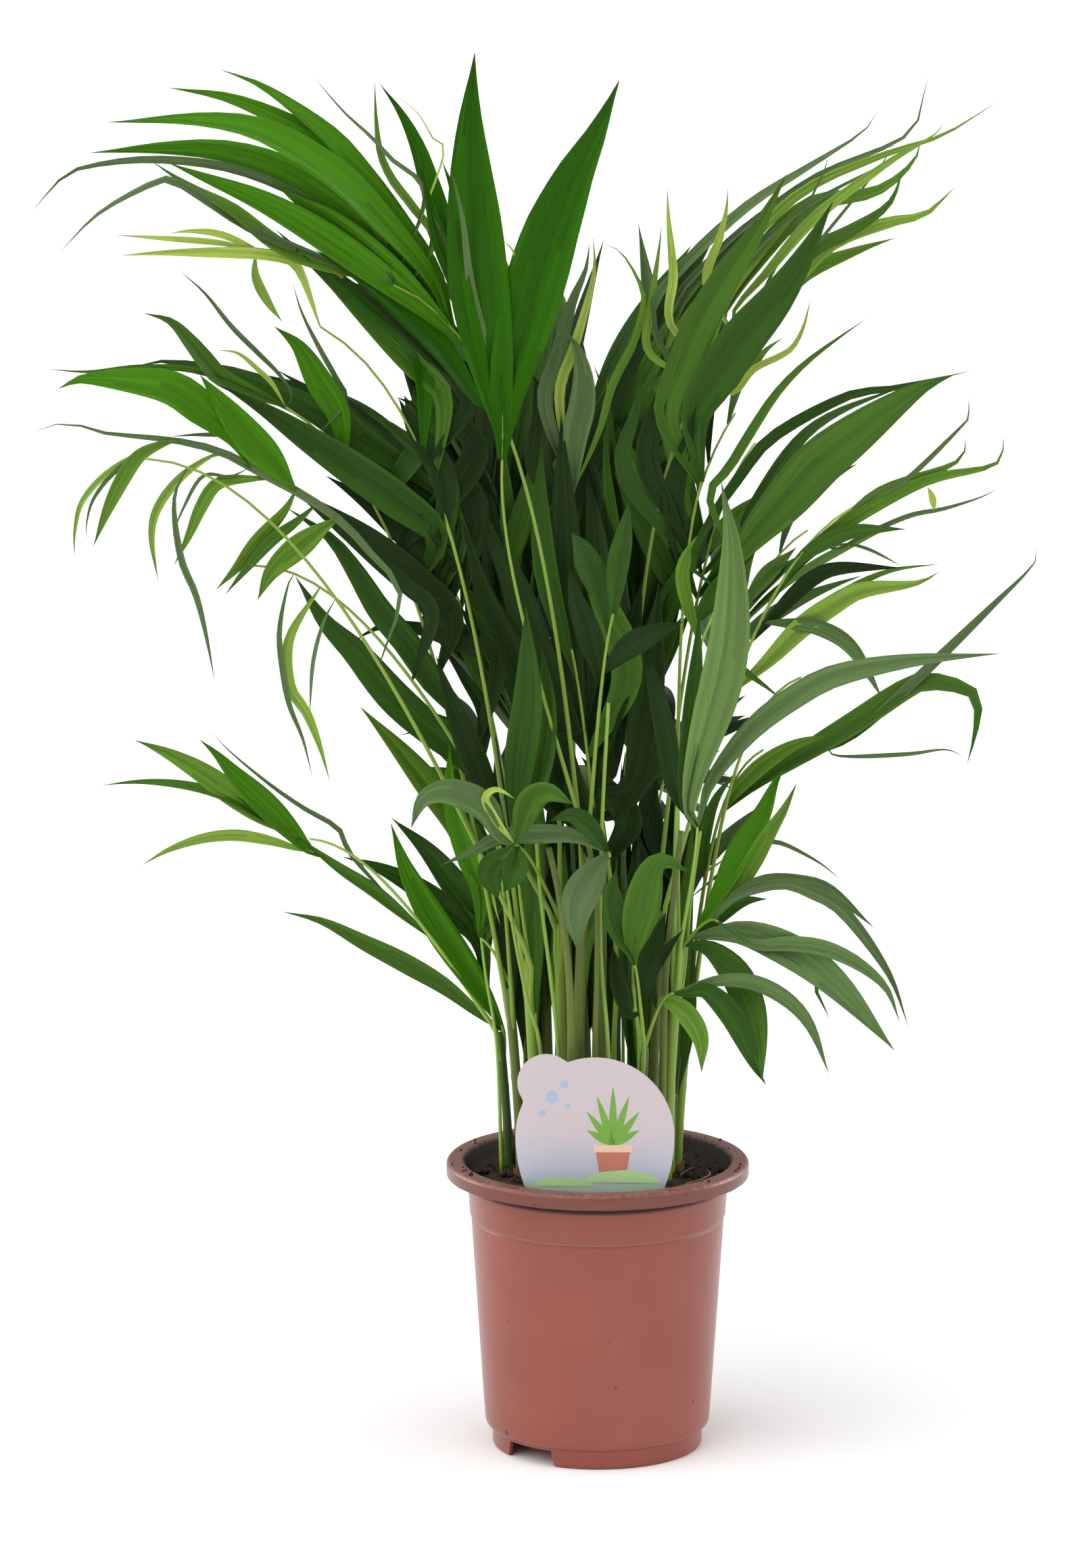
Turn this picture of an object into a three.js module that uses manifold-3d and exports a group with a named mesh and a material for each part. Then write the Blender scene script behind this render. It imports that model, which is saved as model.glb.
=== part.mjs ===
// A potted areca palm: a clump of slender stems in a plastic nursery pot.
// Millimetres, +Z up, front towards -Y. The origin is on the floor, under the pot's centre.
import * as THREE from 'three';
import { mergeVertices } from 'three/addons/utils/BufferGeometryUtils.js';
import Module from 'manifold-3d';

const wasm = await Module();
wasm.setup();

// Driving dimensions of the pot
const POT_HEIGHT = 164;
const RIM_RADIUS = 85;
const RIM_INNER_RADIUS = 76;
const LIP_HEIGHT = 8.5;
const WALL = 1.6;
const WALL_RADIUS_TOP = 74;
const WALL_RADIUS_BOTTOM = 63.5;
const BAND_BOTTOM = 132;
const BAND_STEP = 0.7;
const CORNER_HEIGHT = 16;
const FOOT_RADIUS = 59;
const FOOT_HEIGHT = 10;
const FOOT_WALL = 2.5;
const BASE_PLATE = 2;
const CENTRE_FOOT_RADIUS = 14;
const NOTCH_BEARINGS = [229, 49];
const NOTCH_TOP_WIDTH = 30;
const NOTCH_FLOOR_WIDTH = 34;
const DRAIN_HOLES = 8;
const DRAIN_RADIUS = 4.5;
const DRAIN_RING = 46;
const NOTCH_INSET = 10;
const NOTCH_DEPTH = 16;
const POT_SIDES = 36;

// Driving dimensions of what the pot holds
const GAP = 0.3;
const SOIL_TOP = 154;
const SOIL_EDGE_TOP = 151.5;
const LABEL_RADIUS = 44;
const LABEL_LOBE_RADIUS = 16;
const LABEL_LOBE = [-27, 30];
const LABEL_LOWER_HALF = 60;
const LABEL_CENTRE = [-2, 191];
const LABEL_FOOT_Y = -59;
const LABEL_LEAN = 5;
const LABEL_THICKNESS = 0.8;
const LABEL_STEPS = 36;

// The stems: place in the soil, top, and the diameters at foot and top
const STEMS = [
  { foot: [-50, 24], top: [-55, 20, 232], wide: 6.0, narrow: 5.2 },
  { foot: [-43, 4], top: [-50, 0, 262], wide: 6.4, narrow: 6.0 },
  { foot: [-34, -20], top: [-40, -24, 285], wide: 6.0, narrow: 6.0 },
  { foot: [-27, 22], top: [-32, 24, 318], wide: 7.6, narrow: 6.4 },
  { foot: [-20, -2], top: [-22, -4, 300], wide: 6.4, narrow: 6.0 },
  { foot: [-13, -28], top: [-7, -31, 348], wide: 9.4, narrow: 6.2 },
  { foot: [1, -12], top: [2, -14, 335], wide: 8.6, narrow: 6.6 },
  { foot: [9, 20], top: [12, 22, 322], wide: 7.2, narrow: 6.2 },
  { foot: [23, -24], top: [26, -31, 236], wide: 5.8, narrow: 5.4 },
  { foot: [30, 6], top: [35, 6, 305], wide: 6.4, narrow: 6.0 },
  { foot: [38, -12], top: [45, -16, 290], wide: 7.6, narrow: 6.4 },
  { foot: [45, 16], top: [54, 18, 270], wide: 6.0, narrow: 5.6 },
  { foot: [-10, 44], top: [-12, 52, 310], wide: 7.4, narrow: 6.4 },
  { foot: [20, 46], top: [24, 54, 300], wide: 7.0, narrow: 6.2 },
  { foot: [-34, 44], top: [-40, 52, 280], wide: 6.6, narrow: 6.0 },
];

// The fronds. Each grows from a stem's top to the tip of its rib. arch is how far the rib bends,
// bare the share of it with no leaflets, spread the leaflets' angle to the rib at its foot and at
// its tip, vee their lift above the frond's face, droop their fall as a share of their length, and
// roll how far the frond's face is turned about its rib. All angles are in degrees.
const FRONDS = [
  // The left side, as the camera sees it
  { name: 'top_left', stem: 5, tip: [-112, -46, 664], arch: 64, bare: 0.56, pairs: 8, long: 178,
    wide: 19, spread: [22, 10], vee: 15, droop: 0.45, roll: 45 },
  { name: 'top_left_pair', stem: 5, tip: [-53, -58, 570], arch: -22, bare: 0.97, pairs: 1, long: 192,
    wide: 34, spread: [13, 13], vee: 0, droop: 0.04, roll: 90 },
  { name: 'left_high', stem: 2, tip: [-152, -38, 640], arch: 54, bare: 0.55, pairs: 7, long: 168,
    wide: 17, spread: [30, 14], vee: 12, droop: 0.45, roll: 60 },
  { name: 'left_middle', stem: 1, tip: [-172, -12, 592], arch: 50, bare: 0.5, pairs: 7, long: 165,
    wide: 18, spread: [32, 14], vee: 12, droop: 0.4, roll: 55 },
  { name: 'left_hanging', stem: 2, tip: [-246, -62, 573], arch: 62, bare: 0.55, pairs: 7, long: 92,
    wide: 12, spread: [58, 25], vee: -15, droop: 1.0, roll: 20 },
  { name: 'left_blades', stem: 1, tip: [-72, -6, 388], arch: 34, bare: 0.88, pairs: 2, long: 182,
    wide: 22, spread: [12, 8], vee: 5, droop: 0.06, roll: 85 },
  { name: 'left_slender', stem: 4, tip: [-190, -48, 510], arch: 62, bare: 0.6, pairs: 4, long: 95,
    wide: 11, spread: [60, 40], vee: -15, droop: 1.0, roll: 20 },
  { name: 'left_low', stem: 0, tip: [-160, -22, 352], arch: 48, bare: 0.5, pairs: 3, long: 128,
    wide: 15, spread: [24, 14], vee: 5, droop: 0.1, roll: 80 },
  { name: 'left_low_fan', stem: 0, tip: [-72, 28, 268], arch: 50, bare: 0.85, pairs: 2, long: 122,
    wide: 17, spread: [24, 10], vee: 5, droop: 0.08, roll: 80 },
  { name: 'left_low_pair', stem: 1, tip: [-66, -16, 290], arch: 40, bare: 0.9, pairs: 1, long: 112,
    wide: 17, spread: [16, 16], vee: 0, droop: 0.1, roll: 85 },
  // The middle, in front
  { name: 'centre_upright', stem: 2, tip: [-45, -52, 352], arch: -30, bare: 0.95, pairs: 1, long: 132,
    wide: 17, spread: [6, 6], vee: 20, droop: 0.02, roll: 85 },
  { name: 'centre_small', stem: 4, tip: [-46, -66, 358], arch: 30, bare: 0.85, pairs: 3, long: 62,
    wide: 18, spread: [75, 50], vee: -5, droop: 0.4, roll: 30 },
  { name: 'centre_fold', stem: 6, tip: [6, -60, 350], arch: 40, bare: 0.9, pairs: 2, long: 60,
    wide: 20, spread: [70, 30], vee: -10, droop: 0.8, roll: 20 },
  { name: 'centre_vee', stem: 8, tip: [20, -56, 288], arch: 20, bare: 0.9, pairs: 2, long: 58,
    wide: 18, spread: [30, 22], vee: 0, droop: 0.15, roll: 0 },
  { name: 'centre_dark', stem: 6, tip: [-15, -30, 460], arch: 8, bare: 0.45, pairs: 5, long: 165,
    wide: 22, spread: [20, 6], vee: 10, droop: 0.06, roll: 20 },
  { name: 'centre_tall', stem: 4, tip: [-14, -8, 545], arch: 12, bare: 0.55, pairs: 4, long: 140,
    wide: 17, spread: [18, 6], vee: 10, droop: 0.05, roll: -30 },
  // The right side
  { name: 'top_right', stem: 7, tip: [76, -6, 628], arch: 48, bare: 0.55, pairs: 8, long: 200,
    wide: 16, spread: [15, 8], vee: 12, droop: 0.35, roll: -62 },
  { name: 'top_right_blades', stem: 10, tip: [56, -22, 552], arch: 18, bare: 0.9, pairs: 2, long: 168,
    wide: 22, spread: [16, 10], vee: 10, droop: 0.05, roll: -80 },
  { name: 'right_high', stem: 10, tip: [80, -26, 500], arch: 52, bare: 0.9, pairs: 2, long: 152,
    wide: 22, spread: [16, 6], vee: 5, droop: 0.14, roll: -78 },
  { name: 'right_middle', stem: 9, tip: [140, 12, 532], arch: 46, bare: 0.5, pairs: 7, long: 118,
    wide: 14, spread: [28, 12], vee: 10, droop: 0.12, roll: -65 },
  { name: 'right_arching', stem: 11, tip: [112, -6, 440], arch: 60, bare: 0.6, pairs: 4, long: 104,
    wide: 14, spread: [26, 12], vee: 5, droop: 0.35, roll: -60 },
  { name: 'right_pale_blade', stem: 10, tip: [54, -58, 366], arch: -20, bare: 0.95, pairs: 1, long: 176,
    wide: 21, spread: [7, 7], vee: 20, droop: 0.03, roll: -80 },
  { name: 'right_long', stem: 11, tip: [92, 10, 396], arch: 54, bare: 0.85, pairs: 3, long: 190,
    wide: 17, spread: [14, 8], vee: 5, droop: 0.14, roll: -75 },
  { name: 'right_low', stem: 10, tip: [66, -36, 308], arch: 78, bare: 0.8, pairs: 4, long: 118,
    wide: 17, spread: [34, 14], vee: -5, droop: 0.5, roll: -60 },
  { name: 'right_low_front', stem: 8, tip: [42, -38, 268], arch: 64, bare: 0.85, pairs: 3, long: 80,
    wide: 16, spread: [40, 16], vee: -10, droop: 0.7, roll: -70 },
  { name: 'right_low_upright', stem: 11, tip: [64, 26, 308], arch: 30, bare: 0.9, pairs: 2, long: 92,
    wide: 14, spread: [20, 10], vee: 5, droop: 0.05, roll: -80 },
  // The back and the far sides
  { name: 'back_tall_left', stem: 3, tip: [-56, 86, 565], arch: 34, bare: 0.5, pairs: 7, long: 170,
    wide: 17, spread: [34, 14], vee: 18, droop: 0.22, roll: 0 },
  { name: 'back_tall', stem: 12, tip: [-6, 120, 572], arch: 44, bare: 0.5, pairs: 7, long: 168,
    wide: 17, spread: [34, 14], vee: 18, droop: 0.28, roll: 0 },
  { name: 'back_tall_right', stem: 13, tip: [78, 112, 570], arch: 40, bare: 0.5, pairs: 7, long: 165,
    wide: 17, spread: [34, 14], vee: 18, droop: 0.28, roll: 0 },
  { name: 'back_left', stem: 14, tip: [-96, 122, 490], arch: 50, bare: 0.5, pairs: 6, long: 135,
    wide: 17, spread: [38, 16], vee: 12, droop: 0.32, roll: 0 },
  { name: 'back_right', stem: 13, tip: [120, 130, 500], arch: 50, bare: 0.5, pairs: 6, long: 118,
    wide: 17, spread: [38, 16], vee: 12, droop: 0.32, roll: 0 },
  { name: 'back_middle', stem: 12, tip: [-56, 166, 500], arch: 54, bare: 0.5, pairs: 6, long: 160,
    wide: 17, spread: [38, 16], vee: 12, droop: 0.35, roll: 0 },
  { name: 'back_low_left', stem: 14, tip: [-72, 104, 380], arch: 45, bare: 0.6, pairs: 4, long: 96,
    wide: 17, spread: [42, 20], vee: 5, droop: 0.4, roll: 0 },
  { name: 'back_low_right', stem: 13, tip: [46, 130, 380], arch: 45, bare: 0.6, pairs: 4, long: 104,
    wide: 17, spread: [42, 20], vee: 5, droop: 0.4, roll: 0 },
  { name: 'back_low', stem: 12, tip: [8, 118, 350], arch: 50, bare: 0.6, pairs: 3, long: 110,
    wide: 17, spread: [42, 20], vee: 5, droop: 0.45, roll: 0 },
  { name: 'inner_left', stem: 3, tip: [-56, 30, 450], arch: 10, bare: 0.5, pairs: 5, long: 155,
    wide: 19, spread: [22, 10], vee: 10, droop: 0.1, roll: 30 },
  { name: 'inner_right', stem: 7, tip: [26, 36, 460], arch: 8, bare: 0.5, pairs: 5, long: 155,
    wide: 19, spread: [22, 10], vee: 10, droop: 0.1, roll: -20 },
  { name: 'front_arching', stem: 5, tip: [10, -100, 500], arch: 44, bare: 0.65, pairs: 4, long: 110,
    wide: 14, spread: [28, 12], vee: 10, droop: 0.3, roll: 0 },
  { name: 'right_back', stem: 9, tip: [88, 66, 560], arch: 46, bare: 0.5, pairs: 6, long: 118,
    wide: 15, spread: [32, 14], vee: 12, droop: 0.22, roll: -30 },
  { name: 'left_back', stem: 3, tip: [-92, 62, 560], arch: 46, bare: 0.5, pairs: 6, long: 128,
    wide: 16, spread: [32, 14], vee: 12, droop: 0.28, roll: 30 },
];

const LEAF_GREENS = ['#3a661c', '#2c4f1d', '#5c8a26'];
const STEM_GREEN = '#7d8a3a';
const POT_COLOUR = '#9d5748';
const SOIL_COLOUR = '#3a2620';
const LABEL_COLOUR = '#dcdfe8';

const RIGHT = new THREE.Vector3(1, 0, 0);
const BACK = new THREE.Vector3(0, 1, 0);
const UP = new THREE.Vector3(0, 0, 1);
const OUTWARD_PULL = 0.6;
const DOWNWARD_PULL = 0.8;
const RIB_STEPS = 6;
const RIB_FOOT_RADIUS = 1.5;
const RIB_TIP_RADIUS = 0.8;
const RIB_FOOT_RING = 1.3;
const RIB_FOOT_CROWDING = 0.42;
const RIB_SIDES = 3;
// A rib's own heading at its foot and tip, as shares of its arch, and how far each one holds
const RIB_FOOT_LEAN = 0.2;
const RIB_TIP_LEAN = 0.8;
const RIB_FOOT_HOLD = 0.45;
const RIB_TIP_HOLD = 0.22;
const LAST_ROOT = 0.995;
const STEM_SIDES = 6;
const STEM_STEPS = 3;
// A stem leans more towards its top, and thins most just above its foot
const STEM_LEAN_POWER = 1.4;
const STEM_TAPER_POWER = 0.7;
const LEAF_STATIONS = [0.34, 0.72];
const LEAF_WIDTHS = [1, 0.66];
const LEAF_THICKNESS_SHARE = 0.011;
// How much one leaflet differs from the next: degrees for lift and twist, shares for the rest
const PLACE_VARIATION = 0.15;
const ANGLE_VARIATION = 0.22;
const LIFT_VARIATION = 9;
const LENGTH_VARIATION = 0.1;
const WIDTH_VARIATION = 0.12;
const DROOP_VARIATION = 0.3;
const TWIST_VARIATION = 24;
// Leaflets are longest a third of the way along: a square law of their place on the rib
const SWELL = [0.84, 0.8, -1.02];
// A leaflet that would touch something tries these turns, in degrees, and shares of its length
const LEAF_TRIES = [[0, 1], [5, 1], [-5, 1], [10, 0.95], [-10, 0.9], [16, 0.8], [-16, 0.75], [0, 0.6]];
// A rib that would touch its neighbour sways aside by one of these, in X and Y
const RIB_TRIES = [
  [0, 0], [0, 6], [0, -6], [6, 0], [-6, 0], [0, 12], [0, -12], [12, 0], [-12, 0], [0, 20], [0, -20],
];
const RIB_CLEARANCE = 0.12;
const LEAF_CLEARANCE = 0.45;
const TIP_CLEARANCE = 6;
// Edges shorter than this are closed up where two solids join
const SLIVER = 0.02;

function radians(degrees) {
  return THREE.MathUtils.degToRad(degrees);
}

// A seeded run of numbers from 0 to 1
function seededChance(seed) {
  let state = seed >>> 0;
  return () => {
    state = (state + 0x6d2b79f5) >>> 0;
    let mixed = Math.imul(state ^ (state >>> 15), state | 1);
    mixed ^= mixed + Math.imul(mixed ^ (mixed >>> 7), mixed | 61);
    return ((mixed ^ (mixed >>> 14)) >>> 0) / 4294967296;
  };
}

// Solids
function toSolid(geometry) {
  const bare = geometry.clone();
  bare.deleteAttribute('normal');
  bare.deleteAttribute('uv');
  const merged = mergeVertices(bare, 1e-4);
  return new wasm.Manifold(new wasm.Mesh({
    numProp: 3,
    vertProperties: new Float32Array(merged.attributes.position.array),
    triVerts: new Uint32Array(merged.index.array),
  }));
}

function toGeometry(solid) {
  const mesh = solid.getMesh();
  const geometry = new THREE.BufferGeometry();
  geometry.setAttribute('position', new THREE.BufferAttribute(mesh.vertProperties, 3));
  geometry.setIndex(new THREE.BufferAttribute(mesh.triVerts, 1));
  geometry.computeVertexNormals();
  return geometry;
}

// A skin over rings of equal size, closed at both ends. A ring of one point is a tip.
function loft(rings) {
  const points = rings.flat();
  const firsts = [];
  let count = 0;
  for (const ring of rings) {
    firsts.push(count);
    count += ring.length;
  }
  const faces = [];
  const cap = (ring, first, flipped) => {
    for (let i = 1; i < ring.length - 1; i += 1) {
      faces.push(flipped ? [first, first + i + 1, first + i] : [first, first + i, first + i + 1]);
    }
  };
  cap(rings[0], firsts[0], true);
  for (let k = 0; k < rings.length - 1; k += 1) {
    const low = rings[k].length;
    const high = rings[k + 1].length;
    const sides = Math.max(low, high);
    for (let i = 0; i < sides; i += 1) {
      const a = firsts[k] + (i % low);
      const b = firsts[k] + ((i + 1) % low);
      const c = firsts[k + 1] + ((i + 1) % high);
      const d = firsts[k + 1] + (i % high);
      if (low > 1) {
        faces.push([a, b, c]);
      }
      if (high > 1) {
        faces.push([a, c, d]);
      }
    }
  }
  cap(rings.at(-1), firsts.at(-1), false);
  const geometry = new THREE.BufferGeometry().setFromPoints(points);
  geometry.setIndex(faces.flat());
  return geometry;
}

function ringAt(centre, sideways, forwards, radius, sides) {
  const ring = [];
  for (let i = 0; i < sides; i += 1) {
    const turn = (i / sides) * Math.PI * 2;
    ring.push(centre.clone()
      .addScaledVector(sideways, Math.cos(turn) * radius)
      .addScaledVector(forwards, Math.sin(turn) * radius));
  }
  return ring;
}

// The pot: a turned shell with its rim, foot ring, drain holes and foot notches
function potShell() {
  const bandRadius = (z) => {
    const share = (z - CORNER_HEIGHT) / (POT_HEIGHT - CORNER_HEIGHT);
    return WALL_RADIUS_BOTTOM + (WALL_RADIUS_TOP - BAND_STEP - WALL_RADIUS_BOTTOM) * share;
  };
  const lipFloor = POT_HEIGHT - LIP_HEIGHT;
  const plateTop = FOOT_HEIGHT + BASE_PLATE / 2;
  const plateFloor = plateTop - BASE_PLATE;
  const outline = [
    [0, 0],
    [CENTRE_FOOT_RADIUS, 0],
    [CENTRE_FOOT_RADIUS + 1, plateFloor],
    [FOOT_RADIUS - FOOT_WALL, plateFloor],
    [FOOT_RADIUS - FOOT_WALL, 0],
    [FOOT_RADIUS, 0],
    [FOOT_RADIUS + 0.4, FOOT_HEIGHT],
    [WALL_RADIUS_BOTTOM - 1.8, FOOT_HEIGHT + 1.2],
    [WALL_RADIUS_BOTTOM - 0.4, FOOT_HEIGHT + 3],
    [WALL_RADIUS_BOTTOM, CORNER_HEIGHT],
    [bandRadius(BAND_BOTTOM), BAND_BOTTOM],
    [bandRadius(BAND_BOTTOM) + BAND_STEP, BAND_BOTTOM + 1],
    [bandRadius(lipFloor) + BAND_STEP, lipFloor + 3],
    [RIM_RADIUS - WALL - 0.6, POT_HEIGHT - WALL - 0.8],
    [RIM_RADIUS - WALL, lipFloor],
    [RIM_RADIUS, lipFloor],
    [RIM_RADIUS, POT_HEIGHT - 1.8],
    [RIM_RADIUS - 1.6, POT_HEIGHT],
    [RIM_INNER_RADIUS, POT_HEIGHT],
    [RIM_INNER_RADIUS - 1.2, POT_HEIGHT - 1.2],
    [bandRadius(lipFloor) + BAND_STEP - WALL, lipFloor],
    [bandRadius(BAND_BOTTOM) - WALL, BAND_BOTTOM],
    [WALL_RADIUS_BOTTOM - WALL, CORNER_HEIGHT],
    [WALL_RADIUS_BOTTOM - WALL - 2.5, plateTop],
    [0, plateTop],
  ];
  const profile = outline.map(([radius, z]) => new THREE.Vector2(radius, z));
  const shell = new THREE.LatheGeometry(profile, POT_SIDES);
  shell.rotateX(Math.PI / 2);
  return toSolid(shell);
}

function footNotch(bearing) {
  const half = NOTCH_TOP_WIDTH / 2;
  const floorHalf = NOTCH_FLOOR_WIDTH / 2;
  const top = FOOT_HEIGHT - BASE_PLATE / 2 - 0.2;
  const shape = new THREE.Shape();
  shape.moveTo(-floorHalf, -1);
  shape.lineTo(floorHalf, -1);
  shape.lineTo(half, top);
  shape.lineTo(-half, top);
  shape.closePath();
  const notch = new THREE.ExtrudeGeometry(shape, { depth: NOTCH_DEPTH, bevelEnabled: false });
  notch.rotateX(Math.PI / 2);
  notch.rotateZ(Math.PI / 2);
  notch.translate(FOOT_RADIUS - NOTCH_INSET, 0, 0);
  notch.rotateZ(radians(bearing));
  return toSolid(notch);
}

function drainHole(bearing) {
  const hole = new THREE.CylinderGeometry(DRAIN_RADIUS, DRAIN_RADIUS, 8, 8);
  hole.rotateX(Math.PI / 2);
  hole.translate(DRAIN_RING, 0, FOOT_HEIGHT);
  hole.rotateZ(radians(bearing));
  return toSolid(hole);
}

function makePot() {
  let pot = potShell();
  for (const bearing of NOTCH_BEARINGS) {
    pot = pot.subtract(footNotch(bearing));
  }
  for (let i = 0; i < DRAIN_HOLES; i += 1) {
    pot = pot.subtract(drainHole(((i + 0.5) * 360) / DRAIN_HOLES));
  }
  return pot;
}

// The soil fills the pot to a little below its rim
function makeSoil() {
  const floor = FOOT_HEIGHT + BASE_PLATE / 2 + GAP;
  const slope = (WALL_RADIUS_TOP - BAND_STEP - WALL_RADIUS_BOTTOM) / (POT_HEIGHT - CORNER_HEIGHT);
  const innerRadius = (z) => WALL_RADIUS_BOTTOM - WALL + slope * (z - CORNER_HEIGHT) - GAP - 0.2;
  const outline = [
    [0, floor],
    [WALL_RADIUS_BOTTOM - WALL - 3.2, floor],
    [innerRadius(CORNER_HEIGHT), CORNER_HEIGHT],
    [innerRadius(BAND_BOTTOM), BAND_BOTTOM],
    [innerRadius(SOIL_EDGE_TOP), SOIL_EDGE_TOP],
    [innerRadius(SOIL_EDGE_TOP) - 6, SOIL_TOP],
    [0, SOIL_TOP],
  ];
  const profile = outline.map(([radius, z]) => new THREE.Vector2(radius, z));
  const soil = new THREE.LatheGeometry(profile, POT_SIDES);
  soil.rotateX(Math.PI / 2);
  return toSolid(soil);
}

// The plant label: a round card with a small lobe, stuck in the soil behind the front rim
function labelOutline() {
  const cut = Math.asin((LABEL_CENTRE[1] - SOIL_TOP - GAP) / LABEL_LOWER_HALF);
  const outline = [];
  for (let i = 0; i <= LABEL_STEPS; i += 1) {
    const turn = -cut + ((Math.PI + 2 * cut) * i) / LABEL_STEPS;
    const height = Math.sin(turn) > 0 ? LABEL_RADIUS : LABEL_LOWER_HALF;
    outline.push(new THREE.Vector2(Math.cos(turn) * LABEL_RADIUS, Math.sin(turn) * height));
  }
  return new THREE.Shape(outline);
}

function makeLabel() {
  const lobe = new THREE.Shape();
  lobe.absarc(LABEL_LOBE[0], LABEL_LOBE[1], LABEL_LOBE_RADIUS, 0, Math.PI * 2);
  const plates = [labelOutline(), lobe].map((shape) => {
    const plate = new THREE.ExtrudeGeometry(shape, {
      depth: LABEL_THICKNESS,
      bevelEnabled: false,
      curveSegments: LABEL_STEPS / 2,
    });
    plate.rotateX(Math.PI / 2);
    plate.translate(0, 0, LABEL_CENTRE[1] - SOIL_TOP);
    plate.rotateX(radians(-LABEL_LEAN));
    plate.translate(LABEL_CENTRE[0], LABEL_FOOT_Y, SOIL_TOP);
    return toSolid(plate);
  });
  return plates[0].add(plates[1]);
}

// A stem leans from its flat foot on the soil to its flat top
function makeStem({ foot, top, wide, narrow }) {
  const start = new THREE.Vector3(foot[0], foot[1], SOIL_TOP + GAP);
  const end = new THREE.Vector3(...top);
  const rings = [];
  for (let k = 0; k <= STEM_STEPS; k += 1) {
    const share = k / STEM_STEPS;
    const centre = start.clone().lerp(end, share);
    centre.x = start.x + (end.x - start.x) * share ** STEM_LEAN_POWER;
    centre.y = start.y + (end.y - start.y) * share ** STEM_LEAN_POWER;
    const radius = THREE.MathUtils.lerp(wide, narrow, share ** STEM_TAPER_POWER) / 2;
    rings.push(ringAt(centre, RIGHT, BACK, radius, STEM_SIDES));
  }
  return toSolid(loft(rings));
}

// The rib of a frond bends in the upright plane through its foot and its tip
function ribCurve(foot, tip, arch) {
  const out = new THREE.Vector3(tip.x - foot.x, tip.y - foot.y, 0);
  const reach = out.length();
  out.normalize();
  const rise = tip.z - foot.z;
  const chord = Math.hypot(reach, rise);
  const lean = Math.atan2(reach, rise);
  const heading = (angle) => out.clone()
    .multiplyScalar(Math.sin(angle))
    .addScaledVector(UP, Math.cos(angle));
  const bend = radians(arch);
  const atFoot = heading(lean - bend * RIB_FOOT_LEAN);
  const atTip = heading(lean + bend * RIB_TIP_LEAN);
  const first = foot.clone().addScaledVector(atFoot, chord * RIB_FOOT_HOLD);
  const second = tip.clone().addScaledVector(atTip, -chord * RIB_TIP_HOLD);
  const curve = new THREE.CubicBezierCurve3(foot, first, second, tip);
  return { curve, out, points: curve.getPoints(RIB_STEPS) };
}

function frondAxes(tangent, out, roll) {
  const side = new THREE.Vector3().crossVectors(out, UP).normalize();
  const face = new THREE.Vector3().crossVectors(side, tangent).normalize();
  const turn = radians(roll);
  return {
    side: side.clone().multiplyScalar(Math.cos(turn)).addScaledVector(face, Math.sin(turn)),
    face: side.clone().multiplyScalar(-Math.sin(turn)).addScaledVector(face, Math.cos(turn)),
  };
}

// The centre of the rib's facets, where a leaflet takes root
function ribPoint(rib, at) {
  const place = at * RIB_STEPS;
  const low = Math.min(Math.floor(place), RIB_STEPS - 1);
  return rib.points[low].clone().lerp(rib.points[low + 1], place - low);
}

function makeRib(rib, extra) {
  const rings = [];
  for (let k = 0; k <= RIB_STEPS; k += 1) {
    const share = k / RIB_STEPS;
    const point = rib.points[k];
    const tangent = share === 0 ? UP : rib.curve.getTangent(share);
    const { side, face } = frondAxes(tangent, rib.out, 0);
    const radius = THREE.MathUtils.lerp(RIB_FOOT_RADIUS, RIB_TIP_RADIUS, share) + extra;
    rings.push(ringAt(point, face, side, radius, RIB_SIDES));
  }
  return toSolid(loft(rings));
}

// A leaflet is a slim pointed blade that leaves the rib at an angle and bends towards the ground
function leafletRings(leaf, extra) {
  const { base, along, face, length, width, droop, out } = leaf;
  const outward = OUTWARD_PULL * Math.max(0, 1 - droop);
  const pull = out.clone().multiplyScalar(outward).addScaledVector(UP, -DOWNWARD_PULL);
  const fall = pull.clone().addScaledVector(along, -pull.dot(along));
  const place = (u) => base.clone()
    .addScaledVector(along, length * u)
    .addScaledVector(fall, length * droop * u * u);
  const rings = [[place(0)]];
  const thickness = length * LEAF_THICKNESS_SHARE + extra;
  LEAF_STATIONS.forEach((u, k) => {
    const tangent = along.clone().addScaledVector(fall, 2 * droop * u).normalize();
    const across = new THREE.Vector3().crossVectors(tangent, face).normalize();
    const upper = new THREE.Vector3().crossVectors(across, tangent).normalize();
    const half = (width * LEAF_WIDTHS[k]) / 2 + extra;
    const centre = place(u);
    rings.push([
      centre.clone().addScaledVector(across, half).addScaledVector(upper, extra / 2),
      centre.clone().addScaledVector(upper, -thickness),
      centre.clone().addScaledVector(across, -half).addScaledVector(upper, extra / 2),
    ]);
  });
  rings.push([place(1 + (extra * TIP_CLEARANCE) / length)]);
  return rings;
}

function leafletSolid(leaf, extra) {
  return toSolid(loft(leafletRings(leaf, extra)));
}

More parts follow.
